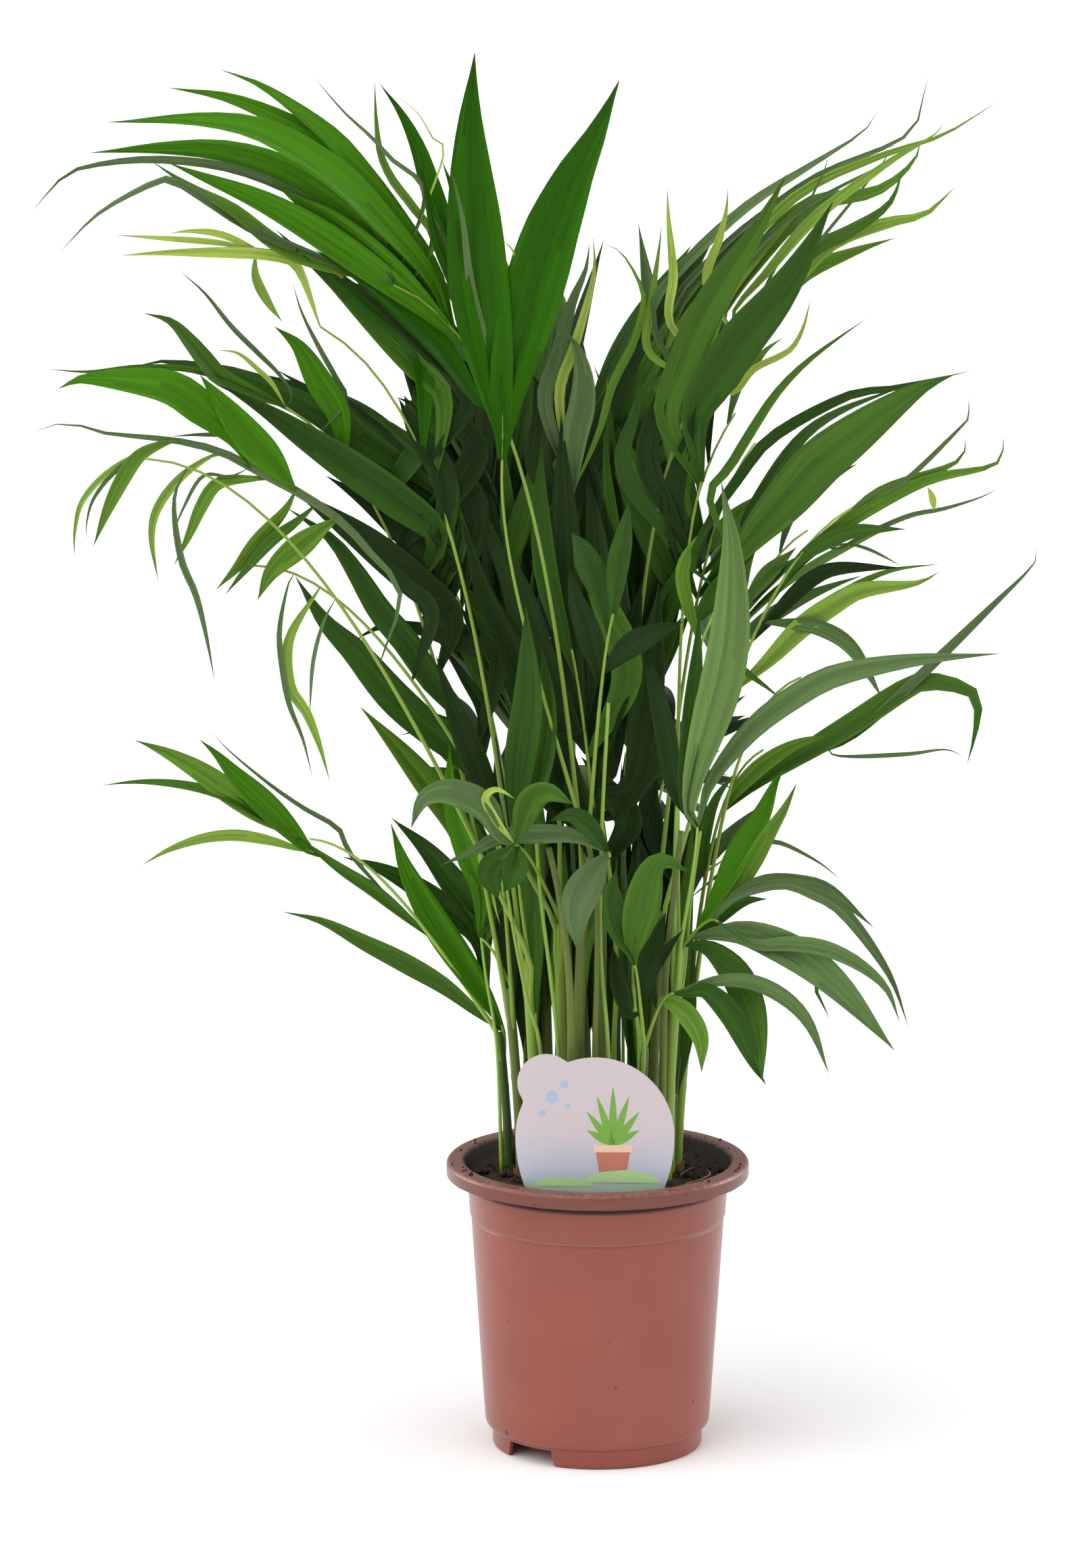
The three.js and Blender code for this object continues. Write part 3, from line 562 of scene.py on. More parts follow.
@dataclass
class Sketch:
    """Points and faces of one piece in millimetres, gathered before they become a mesh."""

    points: list[Vector] = field(default_factory=list)
    faces: list[list[int]] = field(default_factory=list)
    slots: list[int] = field(default_factory=list)
    grains: list[tuple[float, float]] = field(default_factory=list)

    def face(self, corners: Sequence[int], slot: int,
             grain: Sequence[tuple[float, float]] | None = None) -> None:
        """Adds one face.

        Args:
            corners: Numbers of its points, anticlockwise from outside.
            slot: Its place in the piece's list of materials.
            grain: Each corner's place across and along the grain, in millimetres.
        """
        self.faces.append(list(corners))
        self.slots.append(slot)
        self.grains.extend(grain or [(0.0, 0.0)] * len(corners))

    def grid(self, rows: Sequence[Sequence[Vector]], slot: int | Callable[[int, int], int],
             closed: bool = False, capped: bool = False, grain_width: float | None = None) -> None:
        """Adds a skin over rows of points.

        Args:
            rows: Rows of equal length, in order along the grain.
            slot: The material's number, or a function of row and column that gives it.
            closed: Whether each row is a ring.
            capped: Whether the first and last rings are closed with a face.
            grain_width: The grain's width in millimetres on every row, where it narrows with the skin.
        """
        shade = slot if callable(slot) else lambda row, column: slot
        first = len(self.points)
        wide = len(rows[0])
        for row in rows:
            self.points.extend(row)
        along = [0.0]
        for low, high in zip(rows, rows[1:]):
            along.append(along[-1] + (high[0] - low[0]).length)
        across = [[0.0] for _ in rows]
        for k, row in enumerate(rows):
            for i in range(wide):
                step = (row[(i + 1) % wide] - row[i]).length
                across[k].append(across[k][-1] + (step if grain_width is None else grain_width / (wide - 1)))
        for k in range(len(rows) - 1):
            for i in range(wide if closed else wide - 1):
                j = (i + 1) % wide
                a = first + k * wide
                b = a + wide
                self.face([a + i, a + j, b + j, b + i], shade(k, i), [
                    (across[k][i], along[k]),
                    (across[k][i + 1], along[k]),
                    (across[k + 1][i + 1], along[k + 1]),
                    (across[k + 1][i], along[k + 1]),
                ])
        if capped:
            number = shade(0, 0)
            last = first + (len(rows) - 1) * wide
            self.face([first + i for i in reversed(range(wide))], number)
            self.face([last + i for i in range(wide)], number)

    def tube(self, path: Sequence[Vector], size: Callable[[float], float], flatness: float, sides: int,
             slot: int) -> None:
        """Adds a stalk, a little flattened on its section.

        Args:
            path: Its centre line.
            size: Its radius at a share of its length.
            flatness: How much less it measures one way than the other, as a share.
            sides: How many sides its section has.
            slot: The material's number.
        """
        last = len(path) - 1
        rows = []
        for k, point in enumerate(path):
            along = (path[min(k + 1, last)] - path[max(k - 1, 0)]).normalized()
            wide = size(k / last)
            rows.append(ring_at(point, along, lambda turn: wide * (1 - flatness * math.cos(turn * 2)), sides))
        self.grid(rows, slot, closed=True, capped=True)

    def build(self, name: str, materials: Sequence[bpy.types.Material],
              sharp: float | None = None) -> bpy.types.Object:
        """Makes the piece.

        Args:
            name: The piece's name.
            materials: Its materials, in the order of the slots.
            sharp: Edges that turn by more than this many degrees stay sharp.

        Returns:
            The new object, linked to the scene.
        """
        mesh = bpy.data.meshes.new(name)
        mesh.from_pydata([point * MM for point in self.points], [], self.faces)
        for material in materials:
            mesh.materials.append(material)
        mesh.polygons.foreach_set("material_index", self.slots)
        mesh.polygons.foreach_set("use_smooth", [True] * len(self.faces))
        layer = mesh.uv_layers.new(name=GRAIN)
        layer.data.foreach_set("uv", [value for pair in self.grains for value in pair])
        if sharp is not None:
            mesh.set_sharp_from_angle(angle=math.radians(sharp))
        mesh.update()
        piece = bpy.data.objects.new(name, mesh)
        bpy.context.scene.collection.objects.link(piece)
        return piece


def mount(piece: bpy.types.Object, nodes: Sequence[str] = ()) -> None:
    """Puts a piece on the plant's body and says what it stands for.

    Args:
        piece: The finished piece.
        nodes: The part's nodes that it replaces.
    """
    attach(piece, BODY)
    if nodes:
        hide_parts(*nodes)
    log.info("%s: %d faces, stands for %d nodes", piece.name, len(piece.data.polygons), len(nodes))


def ring_at(centre: Vector, along: Vector, radius: Callable[[float], float], sides: int) -> list[Vector]:
    """Lays a ring of points round an axis.

    Args:
        centre: The ring's centre.
        along: The axis.
        radius: The radius at each bearing, in radians.
        sides: How many points it has.

    Returns:
        The ring's points.
    """
    right = along.cross(Vector((0.0, 1.0, 0.0))).normalized()
    ahead = right.cross(along).normalized()
    ring = []
    for i in range(sides):
        turn = TURN * i / sides
        ring.append(centre + (right * math.cos(turn) + ahead * math.sin(turn)) * radius(turn))
    return ring


def smooth_path(knots: Sequence[Vector], steps: int) -> list[Vector]:
    """Runs a smooth curve through a few points.

    Args:
        knots: The points, in order.
        steps: How many even steps to cut it into.

    Returns:
        Points at even distances along the curve.
    """
    ends = [knots[0] * 2 - knots[1], *knots, knots[-1] * 2 - knots[-2]]
    fine = []
    cuts = 12
    for before, start, end, after in zip(ends, ends[1:], ends[2:], ends[3:]):
        for i in range(cuts):
            t = i / cuts
            fine.append(0.5 * (start * 2 + (end - before) * t
                               + (before * 2 - start * 5 + end * 4 - after) * t * t
                               + (start * 3 - before - end * 3 + after) * t * t * t))
    fine.append(knots[-1])
    reached = [0.0]
    for low, high in zip(fine, fine[1:]):
        reached.append(reached[-1] + (high - low).length)
    path, k = [], 0
    for i in range(steps + 1):
        goal = reached[-1] * i / steps
        while k < len(fine) - 2 and reached[k + 1] < goal:
            k += 1
        span = max(reached[k + 1] - reached[k], 1e-6)
        path.append(fine[k].lerp(fine[k + 1], min(1.0, (goal - reached[k]) / span)))
    return path


@dataclass
class PortraitCamera:
    """The photograph's camera: four metres in front of the pot, looking a little down."""

    place: Vector = field(default_factory=lambda: Vector((-32.7, -4000.0, 1180.0)))
    pitch: float = 11.33
    lens: float = 168.33
    film: float = 36.0

    @property
    def pixels(self) -> float:
        """Returns the focal length in pixels of the photograph."""
        return self.lens / self.film * IMAGE_HEIGHT

    @property
    def axes(self) -> tuple[Vector, Vector]:
        """Finds how the camera is turned.

        Returns:
            The directions in which it looks and in which its picture points up.
        """
        pitch = math.radians(self.pitch)
        ahead = Vector((0.0, math.cos(pitch), -math.sin(pitch)))
        return ahead, Vector((0.0, math.sin(pitch), math.cos(pitch)))

    def build(self) -> bpy.types.Object:
        """Makes the camera and gives it to the scene.

        Returns:
            The camera's object.
        """
        data = bpy.data.cameras.new("portrait_camera")
        data.lens = self.lens
        data.sensor_fit = "VERTICAL"
        data.sensor_width = self.film
        data.sensor_height = self.film
        data.clip_start = 0.1
        data.clip_end = 100.0
        camera = bpy.data.objects.new("portrait_camera", data)
        camera.location = self.place * MM
        camera.rotation_euler = (math.radians(90 - self.pitch), 0.0, 0.0)
        bpy.context.scene.collection.objects.link(camera)
        bpy.context.scene.camera = camera
        return camera

    def spot(self, pixel: tuple[float, float], depth: float) -> Vector:
        """Finds what a pixel of the photograph shows.

        Args:
            pixel: Pixels from the left and from the top.
            depth: How far behind the pot's axis the point lies.

        Returns:
            The point, in millimetres.
        """
        ahead, up = self.axes
        ray = ahead + up * ((IMAGE_HEIGHT / 2 - pixel[1]) / self.pixels)
        ray.x += (pixel[0] - IMAGE_WIDTH / 2) / self.pixels
        return self.place + ray * ((depth - self.place.y) / ray.y)

    def pixel(self, point: Vector) -> Vector:
        """Finds where the photograph shows a point.

        Args:
            point: The point, in millimetres.

        Returns:
            Pixels from the left and from the top.
        """
        ahead, up = self.axes
        away = point - self.place
        scale = self.pixels / away.dot(ahead)
        return Vector((IMAGE_WIDTH / 2 + away.x * scale, IMAGE_HEIGHT / 2 - away.dot(up) * scale))


@dataclass
class Studio:
    """A plain pale floor under soft light from two sides and all round."""

    floor_side: float = 60.0
    floor_drop: float = 0.5
    sky_colour: str = "#ffffff"
    sky: float = 0.46
    key: float = 2.2
    fill: float = 1.3
    rim: float = 2.0

    def build(self) -> None:
        """Makes the floor, the lights and the sky, and sets how the picture is developed."""
        sketch = Sketch()
        half = self.floor_side / 2 / MM
        for x, y in ((-1, -1), (1, -1), (1, 1), (-1, 1)):
            sketch.points.append(Vector((x * half, y * half, -self.floor_drop)))
        sketch.face([0, 1, 2, 3], 0)
        floor = sketch.build("floor", [PaintedFloor("floor_white_matt_paint", "#fcfcfc", 0.9).make()])
        self.lamp("key_light", (-60.0, 48.0), self.key, softness=80.0)
        self.lamp("fill_light", (81.0, 48.0), self.fill, softness=90.0)
        for name, bearing in (("left_sheen", -118.0), ("right_sheen", 118.0)):
            self.lamp(name, (bearing, 12.0), self.rim, softness=40.0).visible_diffuse = False
        world = bpy.data.worlds.new("studio_sky")
        world.use_nodes = True
        back = world.node_tree.nodes["Background"]
        back.inputs["Color"].default_value = linear(self.sky_colour)
        back.inputs["Strength"].default_value = self.sky
        scene = bpy.context.scene
        scene.world = world
        scene.view_settings.view_transform = "Standard"

    def lamp(self, name: str, place: tuple[float, float], strength: float,
             softness: float) -> bpy.types.Object:
        """Hangs a broad even lamp.

        Args:
            name: The lamp's name.
            place: Its bearing from the front and its height over the floor, in degrees.
            strength: Its strength.
            softness: How wide it looks from the plant, in degrees.

        Returns:
            The lamp.
        """
        data = bpy.data.lights.new(name, "SUN")
        data.energy = strength
        data.angle = math.radians(softness)
        lamp = bpy.data.objects.new(name, data)
        bearing, height = (math.radians(angle) for angle in place)
        source = Vector((math.sin(bearing), -math.cos(bearing), math.tan(height)))
        lamp.rotation_euler = source.to_track_quat("Z", "Y").to_euler()
        bpy.context.scene.collection.objects.link(lamp)
        return lamp


@dataclass
class NurseryPot:
    """A 17 cm nursery pot: a turned wall, a broad flat rim, a foot ring with notches and drain holes."""

    sides: int = 180
    lip_height: float = 8.5
    wall: float = 1.6
    wall_radius_top: float = 74.0
    wall_radius_bottom: float = 63.5
    band_bottom: float = 132.0
    band_step: float = 0.7
    corner_height: float = 16.0
    foot_radius: float = 59.0
    foot_height: float = 10.0
    foot_wall: float = 2.5
    base_plate: float = 2.0
    centre_foot_radius: float = 14.0
    notch_bearings: tuple[float, float] = (229.0, 49.0)
    notch_widths: tuple[float, float] = (34.0, 30.0)
    drain_holes: int = 8
    drain_radius: float = 4.5
    drain_ring: float = 46.0
    drain_sides: int = 24
    rounding: float = 0.7
    sharp: float = 40.0
    finish: MouldedPolypropylene = MouldedPolypropylene("pot_polypropylene_moulded", "#8e463a", 0.3, 1.49)

    def band_radius(self, height: float) -> float:
        """Returns the outer wall's radius at a height."""
        share = (height - self.corner_height) / (POT_HEIGHT - self.corner_height)
        return lerp(self.wall_radius_bottom, self.wall_radius_top - self.band_step, share)

    def outline(self) -> list[tuple[float, float]]:
        """Works out the pot's section, from the middle of its underside round to the inside.

        Returns:
            Radius and height of each corner.
        """
        lip_floor = POT_HEIGHT - self.lip_height
        plate_top = self.foot_height + self.base_plate / 2
        plate_floor = plate_top - self.base_plate
        band = self.band_bottom
        bottom = self.wall_radius_bottom
        inner = bottom - self.wall
        foot = self.foot_radius
        return [
            (self.centre_foot_radius, 0.0),
            (self.centre_foot_radius + 1, plate_floor),
            (foot - self.foot_wall, plate_floor),
            (foot - self.foot_wall, 0.0),
            (foot, 0.0),
            (foot + 0.4, self.foot_height),
            (bottom - 1.8, self.foot_height + 1.2),
            (bottom - 0.4, self.foot_height + 3),
            (bottom, self.corner_height),
            (self.band_radius(60), 60.0),
            (self.band_radius(100), 100.0),
            (self.band_radius(band - 2), band - 2),
            (self.band_radius(band) - 0.5, band - 0.6),
            (self.band_radius(band) - 0.5, band + 0.2),
            (self.band_radius(band) + self.band_step, band + 1),
            (self.band_radius(lip_floor) + self.band_step, lip_floor + 3),
            (RIM_RADIUS - self.wall - 0.6, POT_HEIGHT - self.wall - 0.8),
            (RIM_RADIUS - self.wall, lip_floor),
            (RIM_RADIUS, lip_floor),
            (RIM_RADIUS, POT_HEIGHT - 1.8),
            (RIM_RADIUS - 1.6, POT_HEIGHT),
            (RIM_INNER_RADIUS, POT_HEIGHT),
            (RIM_INNER_RADIUS - 1.2, POT_HEIGHT - 1.2),
            (self.band_radius(lip_floor) + self.band_step - self.wall, lip_floor),
            (self.band_radius(band) - self.wall, band),
            (inner, self.corner_height),
            (inner - 2.5, plate_top),
        ]

    def softened(self, corners: Sequence[tuple[float, float]], radius: float) -> list[tuple[float, float]]:
        """Rounds the corners of the section, as a mould does.

        Args:
            corners: The section's corners.
            radius: How far from a corner its rounding starts.

        Returns:
            A section with three points for each corner.
        """
        rounded = [corners[0]]
        for before, here, after in zip(corners, corners[1:], corners[2:]):
            middle = Vector(here)
            ahead, back = Vector(after) - middle, Vector(before) - middle
            start = middle + back.normalized() * min(radius, back.length * 0.4)
            end = middle + ahead.normalized() * min(radius, ahead.length * 0.4)
            rounded += [tuple(start), tuple((start + end) / 4 + middle / 2), tuple(end)]
        rounded.append(corners[-1])
        return rounded

    def ragged(self, radius: float, height: float, bearing: float) -> Vector:
        """Places one point of the turned shell, with the mould's flash on the edges of its rim.

        Args:
            radius: Its distance from the axis.
            height: Its height.
            bearing: Its bearing, in radians.

        Returns:
            The point.
        """
        around = flat(bearing)
        if radius > RIM_RADIUS - 0.6 and height < POT_HEIGHT - self.lip_height + 0.8:
            height -= 0.35 * max(0.0, noise.noise(around * 9)) + 0.25 * max(0.0, noise.noise(around * 31))
        if abs(radius - RIM_INNER_RADIUS) < 1.0 and height > POT_HEIGHT - 1.6:
            radius += 0.5 * noise.noise(around * 14)
        return around * radius + UP * height

    def build(self) -> None:
        """Turns the shell, cuts its notches and drain holes, and finishes it."""
        sketch = Sketch()
        section = self.softened(self.outline(), self.rounding)
        rows = [[self.ragged(radius, height, TURN * i / self.sides) for i in range(self.sides)]
                for radius, height in section]
        sketch.grid(rows, 0, closed=True, capped=True)
        pot = sketch.build("pot_shell", [self.finish.make()])
        cutters = self.cutters()
        cut = pot.modifiers.new("notches_and_drain_holes", "BOOLEAN")
        cut.operation = "DIFFERENCE"
        cut.solver = "EXACT"
        cut.object = cutters
        bpy.context.view_layer.update()
        carved = bpy.data.meshes.new_from_object(pot.evaluated_get(bpy.context.evaluated_depsgraph_get()))
        pot.modifiers.clear()
        pot.data = carved
        bpy.data.objects.remove(cutters)
        carved.polygons.foreach_set("use_smooth", [True] * len(carved.polygons))
        carved.set_sharp_from_angle(angle=math.radians(self.sharp))
        mount(pot, ["pot"])

    def cutters(self) -> bpy.types.Object:
        """Makes the solids that cut the foot notches and the drain holes.

        Returns:
            One object that holds them all.
        """
        sketch = Sketch()
        low, high = -1.0, self.foot_height - self.base_plate / 2 - 0.2
        inset, depth = 10.0, 16.0
        wide, narrow = (width / 2 for width in self.notch_widths)
        for bearing in self.notch_bearings:
            turn = Matrix.Rotation(math.radians(bearing), 3, "Z")
            rows = []
            for x in (self.foot_radius - inset, self.foot_radius - inset + depth):
                ring = [Vector((x, -wide, low)), Vector((x, wide, low)),
                        Vector((x, narrow, high)), Vector((x, -narrow, high))]
                rows.append([turn @ point for point in ring])
            sketch.grid(rows, 0, closed=True, capped=True)
        for i in range(self.drain_holes):
            centre = flat(TURN * (i + 0.5) / self.drain_holes) * self.drain_ring
            rows = [ring_at(centre + UP * z, UP, lambda _: self.drain_radius, self.drain_sides)
                    for z in (self.foot_height - 4, self.foot_height + 4)]
            sketch.grid(rows, 0, closed=True, capped=True)
        return sketch.build("pot_cutters", [])


@dataclass
class PottingSoil:
    """Peat and coir: a crumbly surface just below the rim, with clods, fibres and one pale root."""

    edge_radius: float = 72.4
    floor: float = 11.3
    floor_radius: float = 58.2
    edge_width: float = 8.0
    edge_rise: float = 2.6
    skirt_top: float = SOIL_TOP - 4
    rings: int = 60
    sides: int = 150
    clods: int = 330
    clod_seed: int = 4101
    clod_sizes: tuple[float, float] = (0.8, 3.2)
    crumb_sizes: tuple[float, float] = (0.35, 0.9)
    crumb_ring: tuple[float, float] = (77.0, 83.0)
    # How far a clod's centre lies over the surface, as a share of its size
    clod_lift: float = 0.35
    lumpiness: float = 0.75
    fibres: int = 110
    fibre_seed: int = 5203
    fibre_steps: tuple[float, float] = (2.0, 5.5)
    fibre_lifts: tuple[float, float] = (0.1, 1.3)
    fibre_radii: tuple[float, float] = (0.13, 0.34)
    # The axis of the rings that fibres are made of
    upright: Vector = field(default_factory=lambda: Vector((0.3, 0.2, 1.0)))
    root_radius: float = 0.42
    finish: MoistPeat = MoistPeat("soil_peat_moist", "#1e1411", 0.95)
    fibre_finish: FibrousStalk = FibrousStalk("soil_coir_fibre_dry", "#6f4c36", 0.85, fibre_mm=0.4)
    root_finish: FibrousStalk = FibrousStalk("soil_pale_root_dry", "#a88466", 0.7, fibre_mm=0.5)

    def surface(self, spot: Vector, lift: float = 0.0) -> Vector:
        """Finds the crumbly surface under or over a place.

        Args:
            spot: The place; its height doesn't count.
            lift: How far over the surface the point lies.

        Returns:
            The point.
        """
        level = Vector((spot.x, spot.y, 0.0))
        edge = max(0.0, (level.length - self.edge_radius + self.edge_width) / self.edge_width)
        heaps = 1.1 * noise.noise(level / 16) + 0.9 * noise.noise(level / 5)
        crumbs = 0.55 * noise.noise(level / 2.2) + 0.3 * noise.noise(level / 1.1)
        height = SOIL_TOP - 0.7 + heaps + crumbs + self.edge_rise * edge ** 2
        return Vector((spot.x, spot.y, height + lift))

    def build(self) -> None:
        """Makes the soil's body, its clods, its fibres and the pale root."""
        self.build_body()
        self.build_clods()
        self.build_fibres()

    def build_body(self) -> None:
        """Makes the soil's crumbly top and the plug that fills the pot."""
        sketch = Sketch()
        top = []
        for k in range(1, self.rings + 1):
            radius = self.edge_radius * (k / self.rings) ** 0.8
            top.append([self.surface(flat(TURN * i / self.sides, radius)) for i in range(self.sides)])
        skirt = [Vector((point.x, point.y, self.skirt_top)) for point in top[-1]]
        plug = []
        for share in (1.0, 0.7, 0.35):
            radius = lerp(self.edge_radius, self.floor_radius, share)
            height = lerp(self.skirt_top, self.floor, share)
            plug.append([Vector((point.x, point.y, 0.0)).normalized() * radius + UP * height
                         for point in skirt])
        sketch.grid([*plug, skirt, *reversed(top)], 0, closed=True)
        middle = len(sketch.points)
        sketch.points.append(self.surface(Vector()))
        for i in range(self.sides):
            ring = middle - self.sides
            sketch.face([ring + i, ring + (i + 1) % self.sides, middle], 0)
        sketch.face(list(reversed(range(self.sides))), 0)
        mount(sketch.build("soil_surface", [self.finish.make()], sharp=60), ["soil"])

    def build_clods(self) -> None:
        """Scatters clods of peat over the surface, and a few crumbs on the rim."""
        sketch = Sketch()
        chance = seeded_chance(self.clod_seed)
        for i in range(self.clods):
            on_rim = i % 9 == 0
            turn = chance() * TURN
            if on_rim:
                radius = lerp(*self.crumb_ring, chance())
                size = lerp(*self.crumb_sizes, chance())
            else:
                radius = self.edge_radius * 0.97 * math.sqrt(chance())
                size = lerp(*self.clod_sizes, chance() ** 2.2)
            spot = flat(turn, radius)
            lift = size * self.clod_lift
            centre = spot + UP * (POT_HEIGHT + lift) if on_rim else self.surface(spot, lift)
            self.add_clod(sketch, centre, size, i)
        mount(sketch.build("soil_clods", [self.finish.make()]))

    def add_clod(self, sketch: Sketch, centre: Vector, size: float, seed: int) -> None:
        """Adds one lumpy clod.

        Args:
            sketch: What it is added to.
            centre: Its centre.
            size: Its rough radius.
            seed: A whole number that picks its shape.
        """
        rows = []
        bands, sides = 6, 8
        for k in range(1, bands):
            polar = math.pi * k / bands
            row = []
            for i in range(sides):
                out = flat(TURN * i / sides, math.sin(polar)) + UP * math.cos(polar)
                lump = 1 + self.lumpiness * noise.noise(out * 1.3 + Vector((seed * 3.7, 0.0, 0.0)))
                row.append(centre + Vector((out.x, out.y, out.z * 0.7)) * size * lump)
            rows.append(row)
        sketch.grid(list(reversed(rows)), 0, closed=True, capped=True)

    def build_fibres(self) -> None:
        """Lays coir fibres over the soil, and the pale curled root at its right."""
        sketch = Sketch()
        chance = seeded_chance(self.fibre_seed)
        for _ in range(self.fibres):
            turn = chance() * TURN
            radius = self.edge_radius * 0.92 * math.sqrt(chance())
            start = flat(turn, radius)
            heading = chance() * TURN
            knots = []
            for k in range(4):
                heading += (chance() - 0.5) * 1.6
                start = start + flat(heading) * lerp(*self.fibre_steps, chance())
                if start.length > self.edge_radius - 1:
                    start = start.normalized() * (self.edge_radius - 1)
                knots.append(self.surface(start, lerp(*self.fibre_lifts, chance()) * (k % 2)))
            path = smooth_path(knots, 8)
            thick = lerp(*self.fibre_radii, chance())
            rows = [ring_at(point, self.upright, lambda _: thick, 5) for point in path]
            sketch.grid(rows, 0, closed=True, capped=True)
        curl = [(44, -40), (49, -28), (57, -18), (63, -6), (61, 6), (53, 10), (46, 4)]
        lifts = [0.0] + [2.6] * (len(curl) - 2) + [0.0]
        knots = [self.surface(Vector((x, y, 0.0)), lift) for (x, y), lift in zip(curl, lifts)]
        path = smooth_path(knots, 48)
        rows = [ring_at(point, self.upright, lambda _: self.root_radius, 8) for point in path]
        sketch.grid(rows, 1, closed=True, capped=True)
        mount(sketch.build("soil_fibres", [self.fibre_finish.make(), self.root_finish.make()]))


@dataclass
class PlantLabel:
    """A round card with a small lobe, printed with a potted sprig over a hazy field."""

    radius: float = 44.0
    lower_half: float = 60.0
    lobe_radius: float = 16.0
    lobe: tuple[float, float] = (-27.0, 30.0)
    centre: tuple[float, float] = (-2.0, 191.0)
    foot_y: float = -59.0
    lean: float = 5.0
    thickness: float = 0.8
    rounding: float = 0.2
    bow: float = 1.1
    steps: int = 180
    card: PrintedCard = PrintedCard("label_card_printed", "#c4b8bc", 0.34)
    inks: tuple[SolidInk, ...] = (
        SolidInk("label_ink_terracotta", "#b8705c", 0.4),
        SolidInk("label_ink_leaf_green", "#6f9f3c", 0.4),
        SolidInk("label_ink_pale_green", "#a9c888", 0.4),
        SolidInk("label_ink_grey_blue", "#9fb4cc", 0.4),
        SolidInk("label_ink_peach", "#e3bfa6", 0.4),
    )

    def reach(self, turn: float) -> float:
        """Finds how far the card reaches from its centre.

        Args:
            turn: A bearing on the card, in radians from its right.

        Returns:
            The distance to its edge.
        """
        cosine, sine = math.cos(turn), math.sin(turn)
        if sine > 0:
            far = self.radius
        else:
            far = 1 / math.hypot(cosine / self.radius, sine / self.lower_half)
            far = min(far, (self.centre[1] - SOIL_TOP - GAP) / max(-sine, 1e-6))
        along = self.lobe[0] * cosine + self.lobe[1] * sine
        aside = self.lobe[0] * sine - self.lobe[1] * cosine
        if along > 0 and abs(aside) < self.lobe_radius:
            far = max(far, along + math.sqrt(self.lobe_radius ** 2 - aside ** 2))
        return far

    def place(self, x: float, up: float, depth: float) -> Vector:
        """Puts a point of the flat card where the leaning card has it.

        Args:
            x: How far right of the card's centre.
            up: How far above it.
            depth: How far behind the card's back.

        Returns:
            The point.
        """
        lean = math.radians(self.lean)
        height = up + self.centre[1] - SOIL_TOP
        depth -= self.bow * (x / self.radius) ** 2
        return Vector((
            self.centre[0] + x,
            self.foot_y + depth * math.cos(lean) + height * math.sin(lean),
            SOIL_TOP + height * math.cos(lean) - depth * math.sin(lean),
        ))

    def build(self) -> None:
        """Makes the card and its printed motif."""
        sketch = Sketch()
        spans = (0.02, 0.3, 0.55, 0.8, 0.985)
        back = [(share, 0.0) for share in spans]
        edge = [(1.0, -self.rounding), (1.0, self.rounding - self.thickness)]
        front = [(share, -self.thickness) for share in reversed(spans)]
        rows = []
        for share, depth in back + edge + front:
            row = []
            for i in range(self.steps):
                turn = TURN * i / self.steps
                far = self.reach(turn) * share
                row.append(self.place(math.cos(turn) * far, math.sin(turn) * far, depth))
            rows.append(row)
        sketch.grid(rows, 0, closed=True, capped=True)
        mount(sketch.build("label_card", [self.card.make()], sharp=50), ["label"])
        self.build_motif()

    def patch(self, sketch: Sketch, outline: Sequence[tuple[float, float]], ink: int) -> None:
        """Prints one filled shape on the front of the card.

        Args:
            sketch: What it is added to.
            outline: The shape's corners, anticlockwise.
            ink: The ink's number.
        """
        first = len(sketch.points)
        depth = -self.thickness - 0.05 - 0.01 * ink
        sketch.points.extend(self.place(x, up, depth) for x, up in outline)
        sketch.face(range(first, first + len(outline)), ink)

    def leaf_outline(self, root: tuple[float, float], bearing: float, long: float,
                     wide: float) -> list[tuple[float, float]]:
        """Draws the outline of a small leaf.

        Args:
            root: Where it starts.
            bearing: Its heading, in degrees from the card's right.
            long: Its length.
            wide: Its width.

        Returns:
            The outline's corners.
        """
        turn = math.radians(bearing)
        outline = []
        for i in range(21):
            share = i / 20
            edge = 2 * share if share <= 0.5 else 2 - 2 * share
            half = wide / 2 * math.sin(math.pi * edge ** 0.8) * (-1 if share <= 0.5 else 1)
            x, y = long * edge, half
            outline.append((root[0] + x * math.cos(turn) - y * math.sin(turn),
                            root[1] + x * math.sin(turn) + y * math.cos(turn)))
        return outline

    def arc(self, centre: tuple[float, float], radii: tuple[float, float], span: float,
            corners: int) -> list[tuple[float, float]]:
        """Draws an arc, or a whole oval.

        Args:
            centre: Its centre.
            radii: How far it reaches to the side and up.
            span: How far it turns in 24 steps, in radians.
            corners: How many corners it has.

        Returns:
            The outline's corners.
        """
        outline = []
        for i in range(corners):
            turn = span * i / 24
            outline.append((centre[0] + math.cos(turn) * radii[0], centre[1] + math.sin(turn) * radii[1]))
        return outline

    def build_motif(self) -> None:
        """Prints a small potted sprig, a few round drops and two low hills."""
        sketch = Sketch()
        for centre, radii in (((15, -26), (21, 7)), ((-18, -28), (17, 5))):
            self.patch(sketch, self.arc(centre, radii, math.pi, 25), 2)
        self.patch(sketch, [(3, -24), (17, -24), (19.5, -9), (0.5, -9)], 0)
        self.patch(sketch, [(-0.8, -9), (20.8, -9), (20.8, -5), (-0.8, -5)], 4)
        for bearing, long in ((150, 17), (128, 24), (108, 29), (90, 33), (72, 29), (52, 24), (30, 17)):
            self.patch(sketch, self.leaf_outline((10, -5), bearing, long, 4.2), 1)
        for x, up, radius in ((-24, 22, 3.4), (-17, 29, 2.2), (-29, 13, 2.0), (-15, 17, 1.5)):
            self.patch(sketch, self.arc((x, up), (radius, radius), TURN, 24), 3)
        mount(sketch.build("label_motif", [ink.make() for ink in self.inks]))


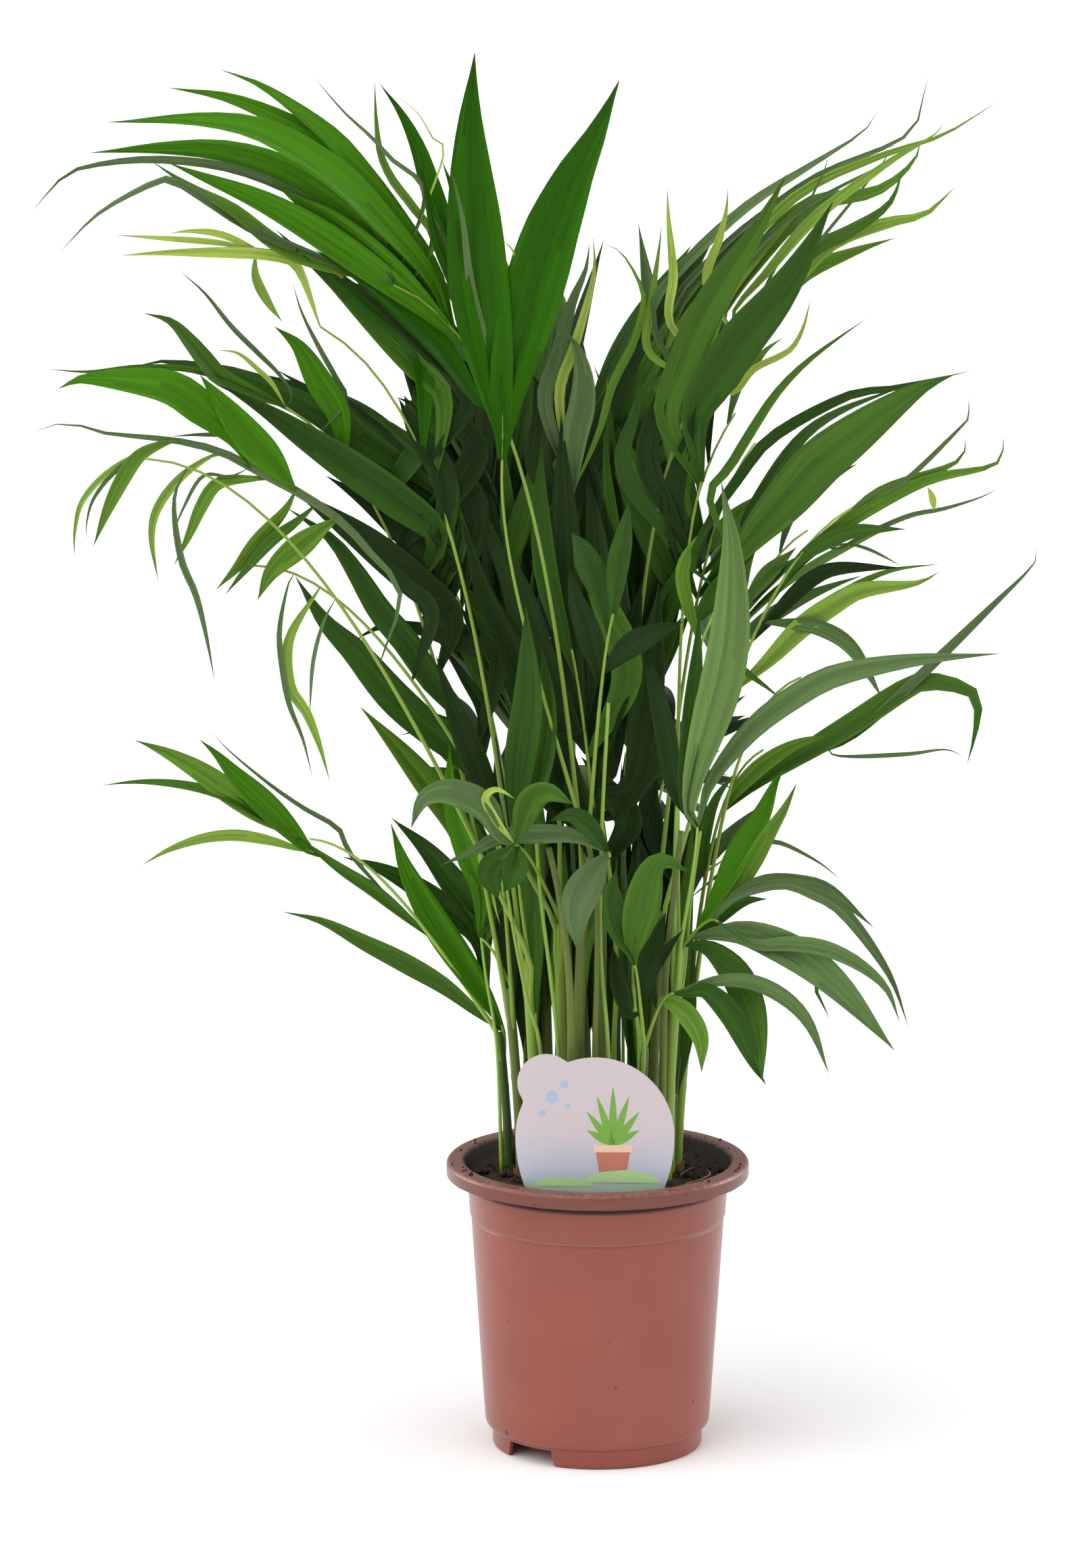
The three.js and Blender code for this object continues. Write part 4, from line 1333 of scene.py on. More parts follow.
@dataclass(frozen=True)
class Stem:
    """One cane of the clump: its place in the soil, its top and its diameters at both ends."""

    foot: tuple[float, float]
    top: tuple[float, float, float]
    wide: float
    narrow: float
    skin: Skin = Skin.CANE

    def centre(self, share: float) -> Vector:
        """Returns the stem's centre at a share of its height."""
        lean = share ** 1.4
        return Vector((lerp(self.foot[0], self.top[0], lean), lerp(self.foot[1], self.top[1], lean),
                       lerp(SOIL_TOP + GAP, self.top[2], share)))

    def radius(self, share: float) -> float:
        """Returns the stem's radius at a share of its height."""
        return lerp(self.wide, self.narrow, share ** 0.7) / 2


STEMS = (
    Stem((-50, 24), (-55, 20, 232), 6.0, 5.2, Skin.DARK_CANE),
    Stem((-43, 4), (-50, 0, 262), 6.4, 6.0),
    Stem((-34, -20), (-40, -24, 285), 6.0, 6.0, Skin.STALK),
    Stem((-27, 22), (-32, 24, 318), 7.6, 6.4),
    Stem((-20, -2), (-22, -4, 300), 6.4, 6.0, Skin.STALK),
    Stem((-13, -28), (-7, -31, 348), 9.4, 6.2),
    Stem((1, -12), (2, -14, 335), 8.6, 6.6),
    Stem((9, 20), (12, 22, 322), 7.2, 6.2, Skin.DARK_CANE),
    Stem((23, -24), (26, -31, 236), 5.8, 5.4, Skin.DARK_CANE),
    Stem((30, 6), (35, 6, 305), 6.4, 6.0),
    Stem((38, -12), (45, -16, 290), 7.6, 6.4, Skin.STALK),
    Stem((45, 16), (54, 18, 270), 6.0, 5.6, Skin.STALK),
    Stem((-10, 44), (-12, 52, 310), 7.4, 6.4),
    Stem((20, 46), (24, 54, 300), 7.0, 6.2),
    Stem((-34, 44), (-40, 52, 280), 6.6, 6.0, Skin.STALK),
)


@dataclass
class Canes:
    """The clump's canes, ringed with scars near their feet, with the edge of a sheath winding up them."""

    sides: int = 16
    steps: int = 44
    # The height in which the sheath's edge winds on by one radian
    sheath_mm: float = 34.0
    sheath_step: float = 0.07
    scar_swell: float = 0.09
    scar_length: float = 1.1
    # The share of its height from which a cane closes
    closing: float = 0.93
    cane_seed: int = 700
    husk_seed: int = 900

    def build(self) -> None:
        """Makes all canes as one piece, with the dry husks at their feet as another."""
        sketch = Sketch()
        husks = Sketch()
        for number, stem in enumerate(STEMS):
            self.add_cane(sketch, stem, number)
            self.add_husk(husks, stem, number)
        nodes = [f"stem_{i + 1:02d}" for i in range(len(STEMS))]
        mount(sketch.build("canes", dress(Skin)), nodes)
        mount(husks.build("cane_husks", dress(Skin)))

    def add_cane(self, sketch: Sketch, stem: Stem, number: int) -> None:
        """Adds one cane, with a scar ring now and then and the edge of a sheath winding up it.

        Args:
            sketch: What it is added to.
            stem: The stem to make.
            number: Its number, which seeds its differences.
        """
        chance = seeded_chance(self.cane_seed + number)
        height = stem.top[2] - SOIL_TOP
        scars = [lerp(4, 12, chance()), lerp(16, 28, chance()), lerp(36, 60, chance())]
        winding = chance() * TURN
        rows = []
        for k in range(self.steps + 1):
            share = (k / self.steps) ** 1.15
            z = share * height
            swell = sum(self.scar_swell * math.exp(-((z - scar) / self.scar_length) ** 2) for scar in scars)
            closing = max(0.0, (share - self.closing) / 0.07)
            spread = stem.radius(share) * (0.9 + swell + 0.2 * math.exp(-z / 5)) * (1 - 0.35 * closing ** 2)
            edge = winding + z / self.sheath_mm

            def radius(turn: float, spread: float = spread, edge: float = edge) -> float:
                """Finds the cane's radius, with the step where the sheath overlaps.

                Args:
                    turn: The bearing, in radians.
                    spread: The cane's radius at this height.
                    edge: The bearing of the sheath's edge at this height.

                Returns:
                    The radius at that bearing.
                """
                step = ((turn - edge) % TURN) / TURN
                ridges = 0.018 * math.cos(turn * 5 + edge)
                return spread * (1 + ridges + self.sheath_step * (1 - step) ** 6)

            rows.append(ring_at(stem.centre(share) - UP * (3 if k == 0 else 0), UP, radius, self.sides))
        sketch.grid(rows, stem.skin.number, closed=True, capped=True)

    def add_husk(self, sketch: Sketch, stem: Stem, number: int) -> None:
        """Adds the torn dry sheath that hugs a cane's foot.

        Args:
            sketch: What it is added to.
            stem: The cane that it hugs.
            number: The cane's number.
        """
        chance = seeded_chance(self.husk_seed + number)
        top = lerp(5, 15, chance())
        facing = chance() * TURN
        span = lerp(2.4, 4.2, chance())
        rows = []
        for k in range(7):
            row = []
            for i in range(11):
                turn = facing + span * (i / 10 - 0.5)
                torn = 0.55 + 0.45 * math.sin(math.pi * i / 10) + 0.25 * (chance() - 0.5)
                z = top * torn * k / 6
                centre = stem.centre(max(0.0, z / (stem.top[2] - SOIL_TOP)))
                off = stem.radius(0) * 1.2 + 0.35 + 0.5 * (k / 6) ** 2
                row.append(centre + flat(turn) * off - UP * 1.2)
            rows.append(row)
        sketch.grid(rows, Skin.HUSK.number)


@dataclass(frozen=True)
class Blade:
    """A leaflet that the photograph shows plainly, by the pixels that it passes from root to tip."""

    # The width and the depth behind the rib are in millimetres, the turn in degrees, and a leaflet that
    # carries others gives its midrib to those after it
    tone: Tone
    width: float
    path: tuple[tuple[float, float], ...]
    depth: float | None = None
    turn: float | None = None
    carries: bool = False


class Side(Enum):
    """The piece of the crown that a frond is part of."""

    LEFT = "left"
    MIDDLE = "middle"
    RIGHT = "right"
    BACK = "back"


@dataclass(frozen=True)
class Frond:
    """One frond, in the words of the part's own table, with the leaflets that the photograph shows."""

    name: str
    side: Side
    stem: int
    tip: tuple[float, float, float]
    arch: float
    bare: float
    pairs: int
    long: float
    wide: float
    spread: tuple[float, float]
    vee: float
    droop: float
    roll: float
    tones: tuple[Tone, ...]
    blades: tuple[Blade, ...] = ()


DEEP, FOREST, MEADOW, BRIGHT = Tone.DEEP, Tone.FOREST, Tone.MEADOW, Tone.BRIGHT
FRESH, YOUNG, BLOOM, LUSH = Tone.FRESH, Tone.YOUNG, Tone.BLOOM, Tone.LUSH
VIVID, SAGE, PALE = Tone.VIVID, Tone.SAGE, Tone.PALE
GREENS = (FOREST, MEADOW, BRIGHT, MEADOW)
SHADED = (DEEP, FOREST, DEEP, MEADOW)
LIT = (BRIGHT, FRESH, MEADOW, BRIGHT)

FRONDS = (
    # The left side, as the camera sees it
    Frond("top_left", Side.LEFT, 5, (-112, -46, 664), 64, 0.56, 8, 178, 19,
          (22, 10), 15, 0.45, 45, GREENS, (
        Blade(LUSH, 12, ((699, 478), (684, 418), (659, 338), (639, 278), (619, 218), (594, 168),
                         (562, 124))),
        Blade(BRIGHT, 5, ((640, 358), (610, 308), (580, 268), (562, 228), (556, 178), (554, 116))),
        Blade(YOUNG, 1.2, ((654, 238), (639, 203), (614, 163), (569, 133))),
        Blade(BLOOM, 2.6, ((628, 290), (578, 235), (548, 202), (508, 165), (461, 110))),
        Blade(VIVID, 13, ((684, 478), (644, 405), (590, 330), (535, 258), (485, 199), (392, 130),
                          (326, 103))),
        Blade(VIVID, 13, ((664, 438), (614, 368), (554, 293), (494, 233), (444, 193), (344, 147),
                          (251, 130))),
        Blade(VIVID, 17, ((674, 468), (634, 408), (554, 318), (494, 260), (394, 198), (294, 178),
                          (159, 181))),
        Blade(MEADOW, 7, ((554, 328), (474, 253), (434, 223), (354, 185))),
        Blade(VIVID, 16, ((684, 498), (614, 403), (554, 343), (444, 263), (344, 226), (244, 219),
                          (134, 226))),
        Blade(BLOOM, 5, ((534, 348), (444, 288), (344, 248), (234, 235), (144, 243), (94, 261), (46, 315))),
        Blade(BLOOM, 6, ((396, 351), (296, 291), (256, 268), (226, 272), (146, 316), (86, 376))),
        Blade(BRIGHT, 9, ((434, 376), (344, 310), (294, 283), (256, 260), (224, 238))),
        Blade(VIVID, 16, ((684, 527), (614, 447), (494, 359), (394, 300), (294, 259), (249, 241))),
        Blade(VIVID, 15, ((674, 508), (594, 413), (494, 328), (444, 298), (402, 268))),
        Blade(LUSH, 9, ((694, 498), (674, 428), (649, 358), (634, 298), (624, 248))),
        Blade(LUSH, 8, ((699, 468), (684, 378), (674, 298), (654, 238))),
        Blade(LUSH, 14, ((709, 598), (644, 508), (554, 428), (464, 368))),
    )),
    Frond("top_left_pair", Side.MIDDLE, 5, (-53, -58, 570), -22, 0.97, 1, 192, 34, (13, 13), 0, 0.04, 90,
          GREENS, (
        Blade(LUSH, 32, ((744, 641), (732, 581), (717, 501), (705, 421), (699, 331), (695, 251), (695, 171),
                         (702, 79)), -20, 10),
        Blade(LUSH, 33, ((748, 611), (759, 551), (787, 451), (817, 351), (836, 301), (857, 251), (882, 201),
                           (916, 119)), -26, -10),
        Blade(YOUNG, 6, ((757, 451), (759, 411), (762, 376), (744, 356)), -16),
        Blade(BLOOM, 5, ((724, 541), (696, 421), (684, 321), (664, 241)), -30),
        Blade(FOREST, 11, ((737, 621), (717, 521), (682, 411), (642, 321)), -4),
    )),
    Frond("left_high", Side.LEFT, 2, (-152, -38, 640), 54, 0.55, 7, 168, 17,
          (30, 14), 12, 0.45, 60, GREENS, (
        Blade(YOUNG, 6.5, ((440, 395), (400, 378), (350, 374), (250, 374), (176, 378)), carries=True),
        Blade(YOUNG, 3.5, ((400, 374), (330, 360), (235, 352), (170, 348))),
        Blade(YOUNG, 4, ((395, 372), (330, 348), (285, 342), (250, 345))),
        Blade(FRESH, 5.5, ((375, 376), (378, 410), (395, 445), (418, 477))),
        Blade(MEADOW, 13, ((728, 680), (658, 590), (608, 535), (508, 430), (458, 385), (408, 340))),
        Blade(DEEP, 13, ((740, 650), (700, 585), (650, 525), (600, 480), (550, 440), (490, 400))),
        Blade(LUSH, 13, ((700, 640), (620, 530), (540, 450), (470, 390), (420, 360))),
        Blade(DEEP, 15, ((690, 780), (650, 700), (615, 640), (590, 590))),
    )),
    Frond("left_middle", Side.LEFT, 1, (-172, -12, 592), 50, 0.5, 7, 165, 18,
          (32, 14), 12, 0.4, 55, SHADED, (
        Blade(FOREST, 16, ((742, 883), (682, 793), (602, 703), (522, 643), (452, 598), (352, 555),
                           (252, 535),
                           (207, 540))),
        Blade(MEADOW, 3.5, ((302, 551), (212, 543), (132, 550), (67, 546))),
        Blade(MEADOW, 11, ((332, 563), (302, 533), (282, 508), (252, 476), (212, 463))),
        Blade(FOREST, 20, ((690, 850), (650, 795), (590, 738), (520, 688), (450, 642), (390, 604),
                           (326, 570))),
        Blade(VIVID, 15, ((542, 663), (502, 613), (472, 563), (442, 513), (406, 483))),
        Blade(YOUNG, 3, ((402, 568), (382, 548), (352, 523), (320, 518))),
        Blade(BLOOM, 3, ((432, 583), (412, 553), (382, 523), (342, 483), (302, 433), (262, 398))),
        Blade(BLOOM, 3, ((512, 593), (497, 558), (472, 513), (447, 463), (432, 416))),
        Blade(DEEP, 16, ((762, 743), (702, 673), (642, 613), (587, 588))),
        Blade(FOREST, 13, ((692, 683), (642, 623), (612, 593), (614, 571))),
        Blade(DEEP, 19, ((722, 978), (672, 915), (612, 855), (548, 803), (490, 762), (428, 720))),
        Blade(DEEP, 17, ((712, 905), (668, 852), (608, 792), (548, 744), (482, 704))),
        Blade(DEEP, 18, ((770, 897), (700, 767), (610, 667), (520, 602))),
        Blade(DEEP, 11, ((747, 895), (662, 785), (572, 705), (482, 655))),
        Blade(FOREST, 13, ((747, 863), (662, 723), (592, 643), (532, 603))),
    )),
    Frond("left_hanging", Side.LEFT, 2, (-246, -74, 573), 62, 0.55, 7, 92, 12, (58, 25), -15, 1.0, 20,
          SHADED, (
        Blade(BLOOM, 5, ((632, 940), (592, 880), (546, 816), (500, 768), (440, 728), (390, 702),
                         (330, 670), (260, 652),
                         (150, 640), (100, 625), (48, 640)), -8, 0, True),
        Blade(VIVID, 20, ((385, 687), (345, 647), (300, 610), (242, 574), (130, 561), (87, 575)), -4),
        Blade(VIVID, 18, ((445, 722), (408, 684), (370, 643), (332, 598), (296, 555)), -6),
        Blade(BLOOM, 3, ((400, 690), (345, 648), (300, 643), (250, 646))),
        Blade(FRESH, 4, ((269, 656), (239, 659), (169, 694), (124, 739), (111, 784), (110, 827))),
        Blade(BLOOM, 2.5, ((275, 654), (250, 655), (180, 690), (140, 735), (128, 775), (129, 800))),
        Blade(BRIGHT, 8.5, ((274, 654), (249, 654), (209, 672), (184, 704), (159, 754), (138, 809))),
        Blade(FRESH, 5, ((349, 684), (314, 674), (269, 704), (234, 749), (224, 794), (234, 861))),
        Blade(BLOOM, 2.2, ((370, 700), (340, 705), (300, 705), (270, 755), (253, 800))),
        Blade(BRIGHT, 7.5, ((409, 709), (374, 709), (324, 716), (299, 749), (279, 794), (257, 837))),
        Blade(BRIGHT, 7.5, ((450, 735), (420, 755), (380, 800), (350, 840), (319, 873))),
        Blade(MEADOW, 6.5, ((470, 745), (440, 770), (400, 800), (365, 840), (333, 880))),
        Blade(BRIGHT, 13, ((505, 764), (470, 784), (430, 814), (400, 846), (381, 888))),
        Blade(BLOOM, 4, ((258, 740), (268, 825), (290, 880), (305, 940), (318, 1010))),
    )),
    Frond("left_blades", Side.LEFT, 1, (-72, -6, 388), 34, 0.88, 2, 182, 22, (12, 8), 5, 0.06, 85, SHADED, (
        Blade(FOREST, 19, ((740, 1180), (690, 1130), (640, 1085), (580, 1030), (525, 965), (480, 920),
                           (437, 853)), -20, 10),
        Blade(FOREST, 15, ((720, 1110), (680, 1060), (640, 1010), (600, 950), (562, 905), (528, 850),
                           (495, 803),
                           (463, 777), (425, 752)), -10),
        Blade(DEEP, 11, ((780, 1010), (740, 975), (690, 955), (640, 935), (590, 925), (550, 932),
                         (522, 952))),
        Blade(DEEP, 3.5, ((745, 1130), (690, 1100), (660, 1090), (620, 1083), (590, 1088))),
        Blade(DEEP, 8, ((750, 1130), (716, 1062), (686, 1002), (648, 948))),
    )),
    Frond("left_slender", Side.LEFT, 4, (-190, -48, 510), 62, 0.6, 4, 95, 11,
          (60, 40), -15, 1.0, 20, SHADED, (
        Blade(BLOOM, 3.5, ((448, 824), (425, 869), (413, 934), (418, 994), (428, 1044), (448, 1094),
                           (463, 1154))),
        Blade(FRESH, 6.5, ((428, 944), (428, 1014), (453, 1054), (473, 1104), (488, 1157))),
        Blade(BLOOM, 2.5, ((528, 849), (503, 874), (478, 924), (463, 984), (458, 1059))),
        Blade(DEEP, 9, ((690, 954), (640, 908), (598, 860), (543, 804))),
    )),
    Frond("left_low", Side.LEFT, 0, (-160, -22, 352), 48, 0.5, 3, 128, 15, (24, 14), 5, 0.1, 80, LIT, (
        Blade(MEADOW, 7.5, ((640, 1383), (560, 1323), (500, 1283), (440, 1238)), -6, 0, True),
        Blade(BRIGHT, 13, ((440, 1247), (390, 1207), (350, 1177), (300, 1142), (250, 1115), (200, 1095))),
        Blade(MEADOW, 5.5, ((440, 1250), (400, 1217), (350, 1187), (300, 1168), (250, 1159), (200, 1157),
                            (150, 1162))),
        Blade(VIVID, 14, ((480, 1277), (455, 1257), (430, 1232), (390, 1192), (350, 1152), (320, 1117),
                           (295, 1094))),
        Blade(BLOOM, 3, ((600, 1352), (520, 1267), (500, 1227), (450, 1197), (400, 1162), (340, 1112),
                         (310, 1080))),
        Blade(FRESH, 6.5, ((470, 1267), (440, 1255), (400, 1243), (350, 1235), (300, 1240), (250, 1257),
                           (210, 1280))),
    )),
    Frond("left_low_fan", Side.LEFT, 0, (-72, 28, 268), 50, 0.85, 2, 122, 17,
          (24, 10), 5, 0.08, 80, GREENS, (
        Blade(FOREST, 14, ((757, 1448), (707, 1388), (657, 1343), (607, 1308), (557, 1283),
                           (508, 1268)), -14),
        Blade(FOREST, 16, ((744, 1436), (709, 1366), (669, 1306), (629, 1256), (579, 1210))),
        Blade(VIVID, 17, ((747, 1522), (727, 1492), (688, 1432), (644, 1367), (602, 1290), (578, 1218))),
        Blade(MEADOW, 11, ((742, 1528), (707, 1498), (657, 1458), (597, 1423), (537, 1393), (477, 1363),
                           (418, 1349))),
    )),
    Frond("left_low_pair", Side.LEFT, 1, (-66, 4, 290), 40, 0.9, 1, 112, 17, (16, 16), 0, 0.1, 85, LIT, (
        Blade(BRIGHT, 18, ((716, 1316), (701, 1266), (676, 1216), (636, 1166), (596, 1116), (556, 1071),
                           (533, 1046))),
        Blade(VIVID, 14, ((710, 1312), (695, 1272), (668, 1182), (665, 1102))),
        Blade(FOREST, 10, ((745, 1312), (705, 1232), (690, 1162), (680, 1102))),
    )),
    # The middle, in front
    Frond("centre_upright", Side.MIDDLE, 2, (-45, -40, 352), -30, 0.95, 1, 132, 17, (6, 6), 20, 0.02, 85,
          GREENS, (
        Blade(FOREST, 18, ((755, 1250), (766, 1150), (780, 1030), (778, 895)), -35, 5),
        Blade(DEEP, 15, ((745, 1240), (705, 1140), (670, 1050), (645, 970))),
        Blade(FOREST, 13, ((760, 1240), (800, 1140), (810, 1040), (800, 950))),
    )),
    Frond("centre_small", Side.MIDDLE, 4, (-46, -66, 358), 30, 0.85, 3, 62, 18, (75, 50), -5, 0.4, 30,
          GREENS, (
        Blade(SAGE, 16, ((740, 1240), (720, 1200), (690, 1180), (655, 1172), (625, 1185),
                         (608, 1225)), -14, 20),
        Blade(YOUNG, 5, ((735, 1215), (718, 1182), (735, 1168), (762, 1182)), -10),
        Blade(MEADOW, 15, ((745, 1240), (780, 1190), (810, 1172), (848, 1190)), -16, 20),
        Blade(FOREST, 16, ((742, 1245), (725, 1290), (737, 1330)), -12),
        Blade(FOREST, 15, ((765, 1250), (760, 1290), (745, 1320)), -6),
        Blade(FRESH, 2.4, ((728, 1290), (730, 1330), (740, 1370)), -14),
    )),
    Frond("centre_fold", Side.MIDDLE, 6, (6, -60, 350), 40, 0.9, 2, 60, 20,
          (70, 30), -10, 0.8, 20, GREENS, (
        Blade(BLOOM, 11, ((895, 1250), (850, 1238), (800, 1235), (740, 1240), (700, 1260),
                          (652, 1280)), -22, 18),
        Blade(BLOOM, 20, ((905, 1245), (880, 1290), (855, 1340), (853, 1405)), -24, 8),
        Blade(FOREST, 11, ((900, 1248), (870, 1220), (845, 1205), (812, 1215)), -18),
        Blade(MEADOW, 12, ((880, 1345), (865, 1400), (868, 1465)), -8),
    )),
    Frond("centre_vee", Side.MIDDLE, 8, (20, -56, 288), 20, 0.9, 2, 58, 18, (30, 22), 0, 0.15, 0, GREENS, (
        Blade(FOREST, 15, ((935, 1410), (915, 1370), (905, 1320), (912, 1285)), -6, 12),
        Blade(MEADOW, 20, ((937, 1405), (950, 1350), (965, 1290), (985, 1275), (1018, 1290)), -16, -12),
        Blade(DEEP, 14, ((935, 1490), (960, 1420), (985, 1350)), 12),
        Blade(DEEP, 11, ((930, 1500), (915, 1450), (905, 1400)), 16),
    )),
    Frond("centre_dark", Side.MIDDLE, 6, (-15, -30, 460), 8, 0.45, 5, 165, 22,
          (20, 6), 10, 0.06, 20, SHADED, (
        Blade(DEEP, 20, ((850, 1100), (838, 950), (835, 800), (830, 615)), 10, 8),
        Blade(FOREST, 13, ((830, 1010), (812, 860), (800, 750), (801, 650)), 14),
        Blade(MEADOW, 18, ((945, 1110), (925, 1000), (885, 880), (845, 788)), -16, 16),
        Blade(DEEP, 18, ((862, 1080), (880, 950), (885, 820), (868, 700)), 16),
        Blade(DEEP, 20, ((840, 1120), (800, 980), (760, 860), (700, 760)), 6),
        Blade(DEEP, 15, ((800, 1090), (760, 980), (715, 880), (683, 765)), -6),
        Blade(DEEP, 22, ((850, 1200), (815, 1080), (790, 960), (770, 830)), 18),
        Blade(DEEP, 20, ((880, 1180), (900, 1060), (930, 960), (950, 860)), 20),
        Blade(DEEP, 16, ((905, 1205), (950, 1150), (985, 1110), (1000, 1080)), 4),
        Blade(DEEP, 16, ((960, 1280), (930, 1220), (900, 1170), (860, 1120)), -6),
        Blade(DEEP, 22, ((820, 1250), (800, 1150), (790, 1050), (800, 940)), 24),
        Blade(DEEP, 18, ((900, 1150), (905, 1020), (915, 900), (910, 780)), 28),
        Blade(DEEP, 18, ((930, 1160), (950, 1060), (965, 960), (975, 860)), 26),
    )),
    Frond("centre_tall", Side.MIDDLE, 4, (-14, -8, 545), 12, 0.55, 4, 140, 17, (18, 6), 10, 0.05, -30,
          SHADED, (
        Blade(BLOOM, 9, ((806, 600), (824, 530), (845, 450), (866, 400), (872, 360))),
        Blade(YOUNG, 6, ((827, 590), (847, 520), (865, 460), (879, 400), (877, 348))),
        Blade(SAGE, 15, ((850, 720), (850, 650), (860, 600), (862, 560), (855, 520), (838, 490)), -14, 6),
        Blade(BRIGHT, 4.5, ((885, 640), (905, 570), (935, 510), (947, 470), (950, 430), (920, 375),
                            (892, 362))),
        Blade(DEEP, 12, ((905, 880), (880, 740), (830, 620), (780, 545))),
        Blade(DEEP, 15, ((790, 760), (800, 690), (800, 620), (790, 560))),
    )),
    # The right side
    Frond("top_right", Side.RIGHT, 7, (76, -6, 628), 48, 0.55, 8, 200, 16, (15, 8), 12, 0.35, -62, GREENS, (
        Blade(SAGE, 6.5, ((934, 552), (964, 472), (1004, 402), (1104, 307), (1204, 242), (1274, 197),
                          (1299, 164))),
        Blade(SAGE, 5, ((949, 582), (994, 482), (1094, 352), (1204, 264), (1339, 202), (1366, 142),
                        (1374, 110))),
        Blade(FRESH, 5.5, ((949, 602), (984, 522), (1044, 432), (1174, 292), (1304, 230), (1394, 200),
                           (1476, 150))),
        Blade(FRESH, 6, ((1084, 462), (1134, 402), (1204, 322), (1304, 247), (1344, 222), (1379, 202),
                         (1397, 182))),
        Blade(BRIGHT, 11, ((1034, 522), (1054, 482), (1104, 402), (1194, 307), (1294, 284), (1349, 242),
                           (1362, 207))),
        Blade(MEADOW, 7.5, ((1084, 502), (1154, 422), (1204, 367), (1254, 342), (1314, 302), (1337, 247))),
        Blade(FRESH, 11, ((1064, 602), (1104, 522), (1144, 452), (1224, 362), (1324, 327), (1369, 317),
                           (1412, 277))),
        Blade(BRIGHT, 12, ((1054, 617), (1084, 557), (1144, 457), (1184, 407), (1264, 372), (1324, 352))),
        Blade(SAGE, 4, ((940, 600), (990, 470), (1060, 375), (1150, 300), (1250, 240), (1335, 212)), -8),
        Blade(SAGE, 4, ((960, 620), (1010, 505), (1085, 405), (1180, 315), (1290, 252), (1352, 222)), -10),
        Blade(BLOOM, 2, ((1216, 260), (1214, 242), (1207, 222))),
        Blade(BLOOM, 2, ((1301, 247), (1300, 230), (1294, 212))),
        Blade(YOUNG, 4, ((1084, 582), (1114, 547), (1154, 527), (1174, 512), (1189, 482), (1199, 442))),
        Blade(FRESH, 5, ((1064, 602), (1104, 547), (1134, 517), (1159, 499))),
        Blade(YOUNG, 5, ((994, 482), (997, 412), (994, 372), (989, 322), (987, 277))),
        Blade(FRESH, 5, ((959, 522), (964, 442), (974, 372), (979, 332))),
        Blade(YOUNG, 5, ((1044, 422), (1064, 352), (1074, 312), (1077, 277))),
        Blade(FRESH, 9, ((1014, 562), (1064, 452), (1124, 372), (1184, 312))),
        Blade(MEADOW, 10, ((954, 642), (989, 522), (1044, 422), (1114, 342))),
    )),
    Frond("top_right_blades", Side.RIGHT, 10, (56, -22, 552), 18, 0.9, 2, 168, 22, (16, 10), 10, 0.05, -80,
          GREENS, (
        Blade(MEADOW, 19, ((970, 700), (985, 620), (1010, 540), (1040, 470), (1080, 400), (1120, 340),
                           (1163, 258)), -20, 10),
        Blade(FOREST, 24, ((997, 700), (1027, 620), (1057, 560), (1097, 500), (1147, 440), (1187, 380),
                           (1232, 298)), -30, 12),
        Blade(DEEP, 13, ((946, 800), (960, 690), (975, 600), (995, 520)), -8),
        Blade(DEEP, 12, ((975, 860), (995, 740), (1015, 660), (1030, 600)), -14),
        Blade(FOREST, 10, ((920, 820), (925, 700), (940, 610), (955, 540)), 4),
    )),
    Frond("right_high", Side.RIGHT, 10, (80, -26, 500), 52, 0.9, 2, 152, 22, (16, 6), 5, 0.14, -78, LIT, (
        Blade(MEADOW, 5.5, ((1050, 740), (1080, 690), (1110, 640), (1150, 580), (1200, 530), (1283, 470))),
        Blade(FOREST, 6.5, ((1022, 836), (1052, 766), (1092, 706), (1142, 646), (1252, 586), (1322, 574),
                            (1436, 549))),
        Blade(MEADOW, 26, ((1082, 837), (1112, 792), (1157, 742), (1207, 687), (1257, 647), (1357, 577),
                           (1412, 554)), -34, 12),
        Blade(FOREST, 7, ((1100, 780), (1120, 740), (1180, 655), (1240, 610), (1340, 570)), -22),
        Blade(BRIGHT, 8, ((975, 940), (1010, 850), (1040, 790), (1062, 760))),
    )),
    Frond("right_middle", Side.RIGHT, 9, (140, 12, 532), 46, 0.5, 7, 118, 14,
          (28, 12), 10, 0.12, -65, LIT, (
        Blade(BLOOM, 3, ((1305, 728), (1335, 713), (1365, 688), (1420, 633), (1432, 618), (1433, 583))),
        Blade(BRIGHT, 8.5, ((1129, 896), (1169, 846), (1209, 806), (1259, 766), (1309, 726), (1414, 684),
                            (1429, 648))),
        Blade(BRIGHT, 7.5, ((1147, 882), (1197, 822), (1257, 772), (1367, 712), (1472, 687), (1484, 644))),
        Blade(SAGE, 9, ((1134, 930), (1172, 922), (1218, 930), (1262, 960), (1306, 1035)), -16),
        Blade(BLOOM, 3, ((1235, 813), (1275, 793), (1345, 763), (1395, 753), (1450, 736),
                         (1480, 721)), carries=True),
        Blade(MEADOW, 9, ((1145, 848), (1195, 818), (1255, 788), (1305, 783), (1340, 783))),
        Blade(YOUNG, 4, ((1382, 748), (1379, 736), (1372, 720))),
        Blade(BRIGHT, 5, ((1095, 1028), (1155, 958), (1215, 898), (1305, 848), (1391, 834))),
        Blade(FRESH, 12, ((1095, 1028), (1135, 978), (1185, 928), (1235, 893), (1275, 873), (1355, 863),
                          (1389, 846)), -12),
        Blade(DEEP, 9, ((1105, 948), (1165, 888), (1205, 853), (1245, 840), (1335, 840)), -4),
        Blade(BLOOM, 2, ((1225, 808), (1250, 805), (1285, 813), (1335, 838))),
    )),
    Frond("right_arching", Side.RIGHT, 11, (112, -6, 440), 60, 0.6, 4, 104, 14, (26, 12), 5, 0.35, -60,
          GREENS, (
        Blade(MEADOW, 7, ((1066, 955), (1106, 885), (1146, 845), (1186, 820))),
    )),
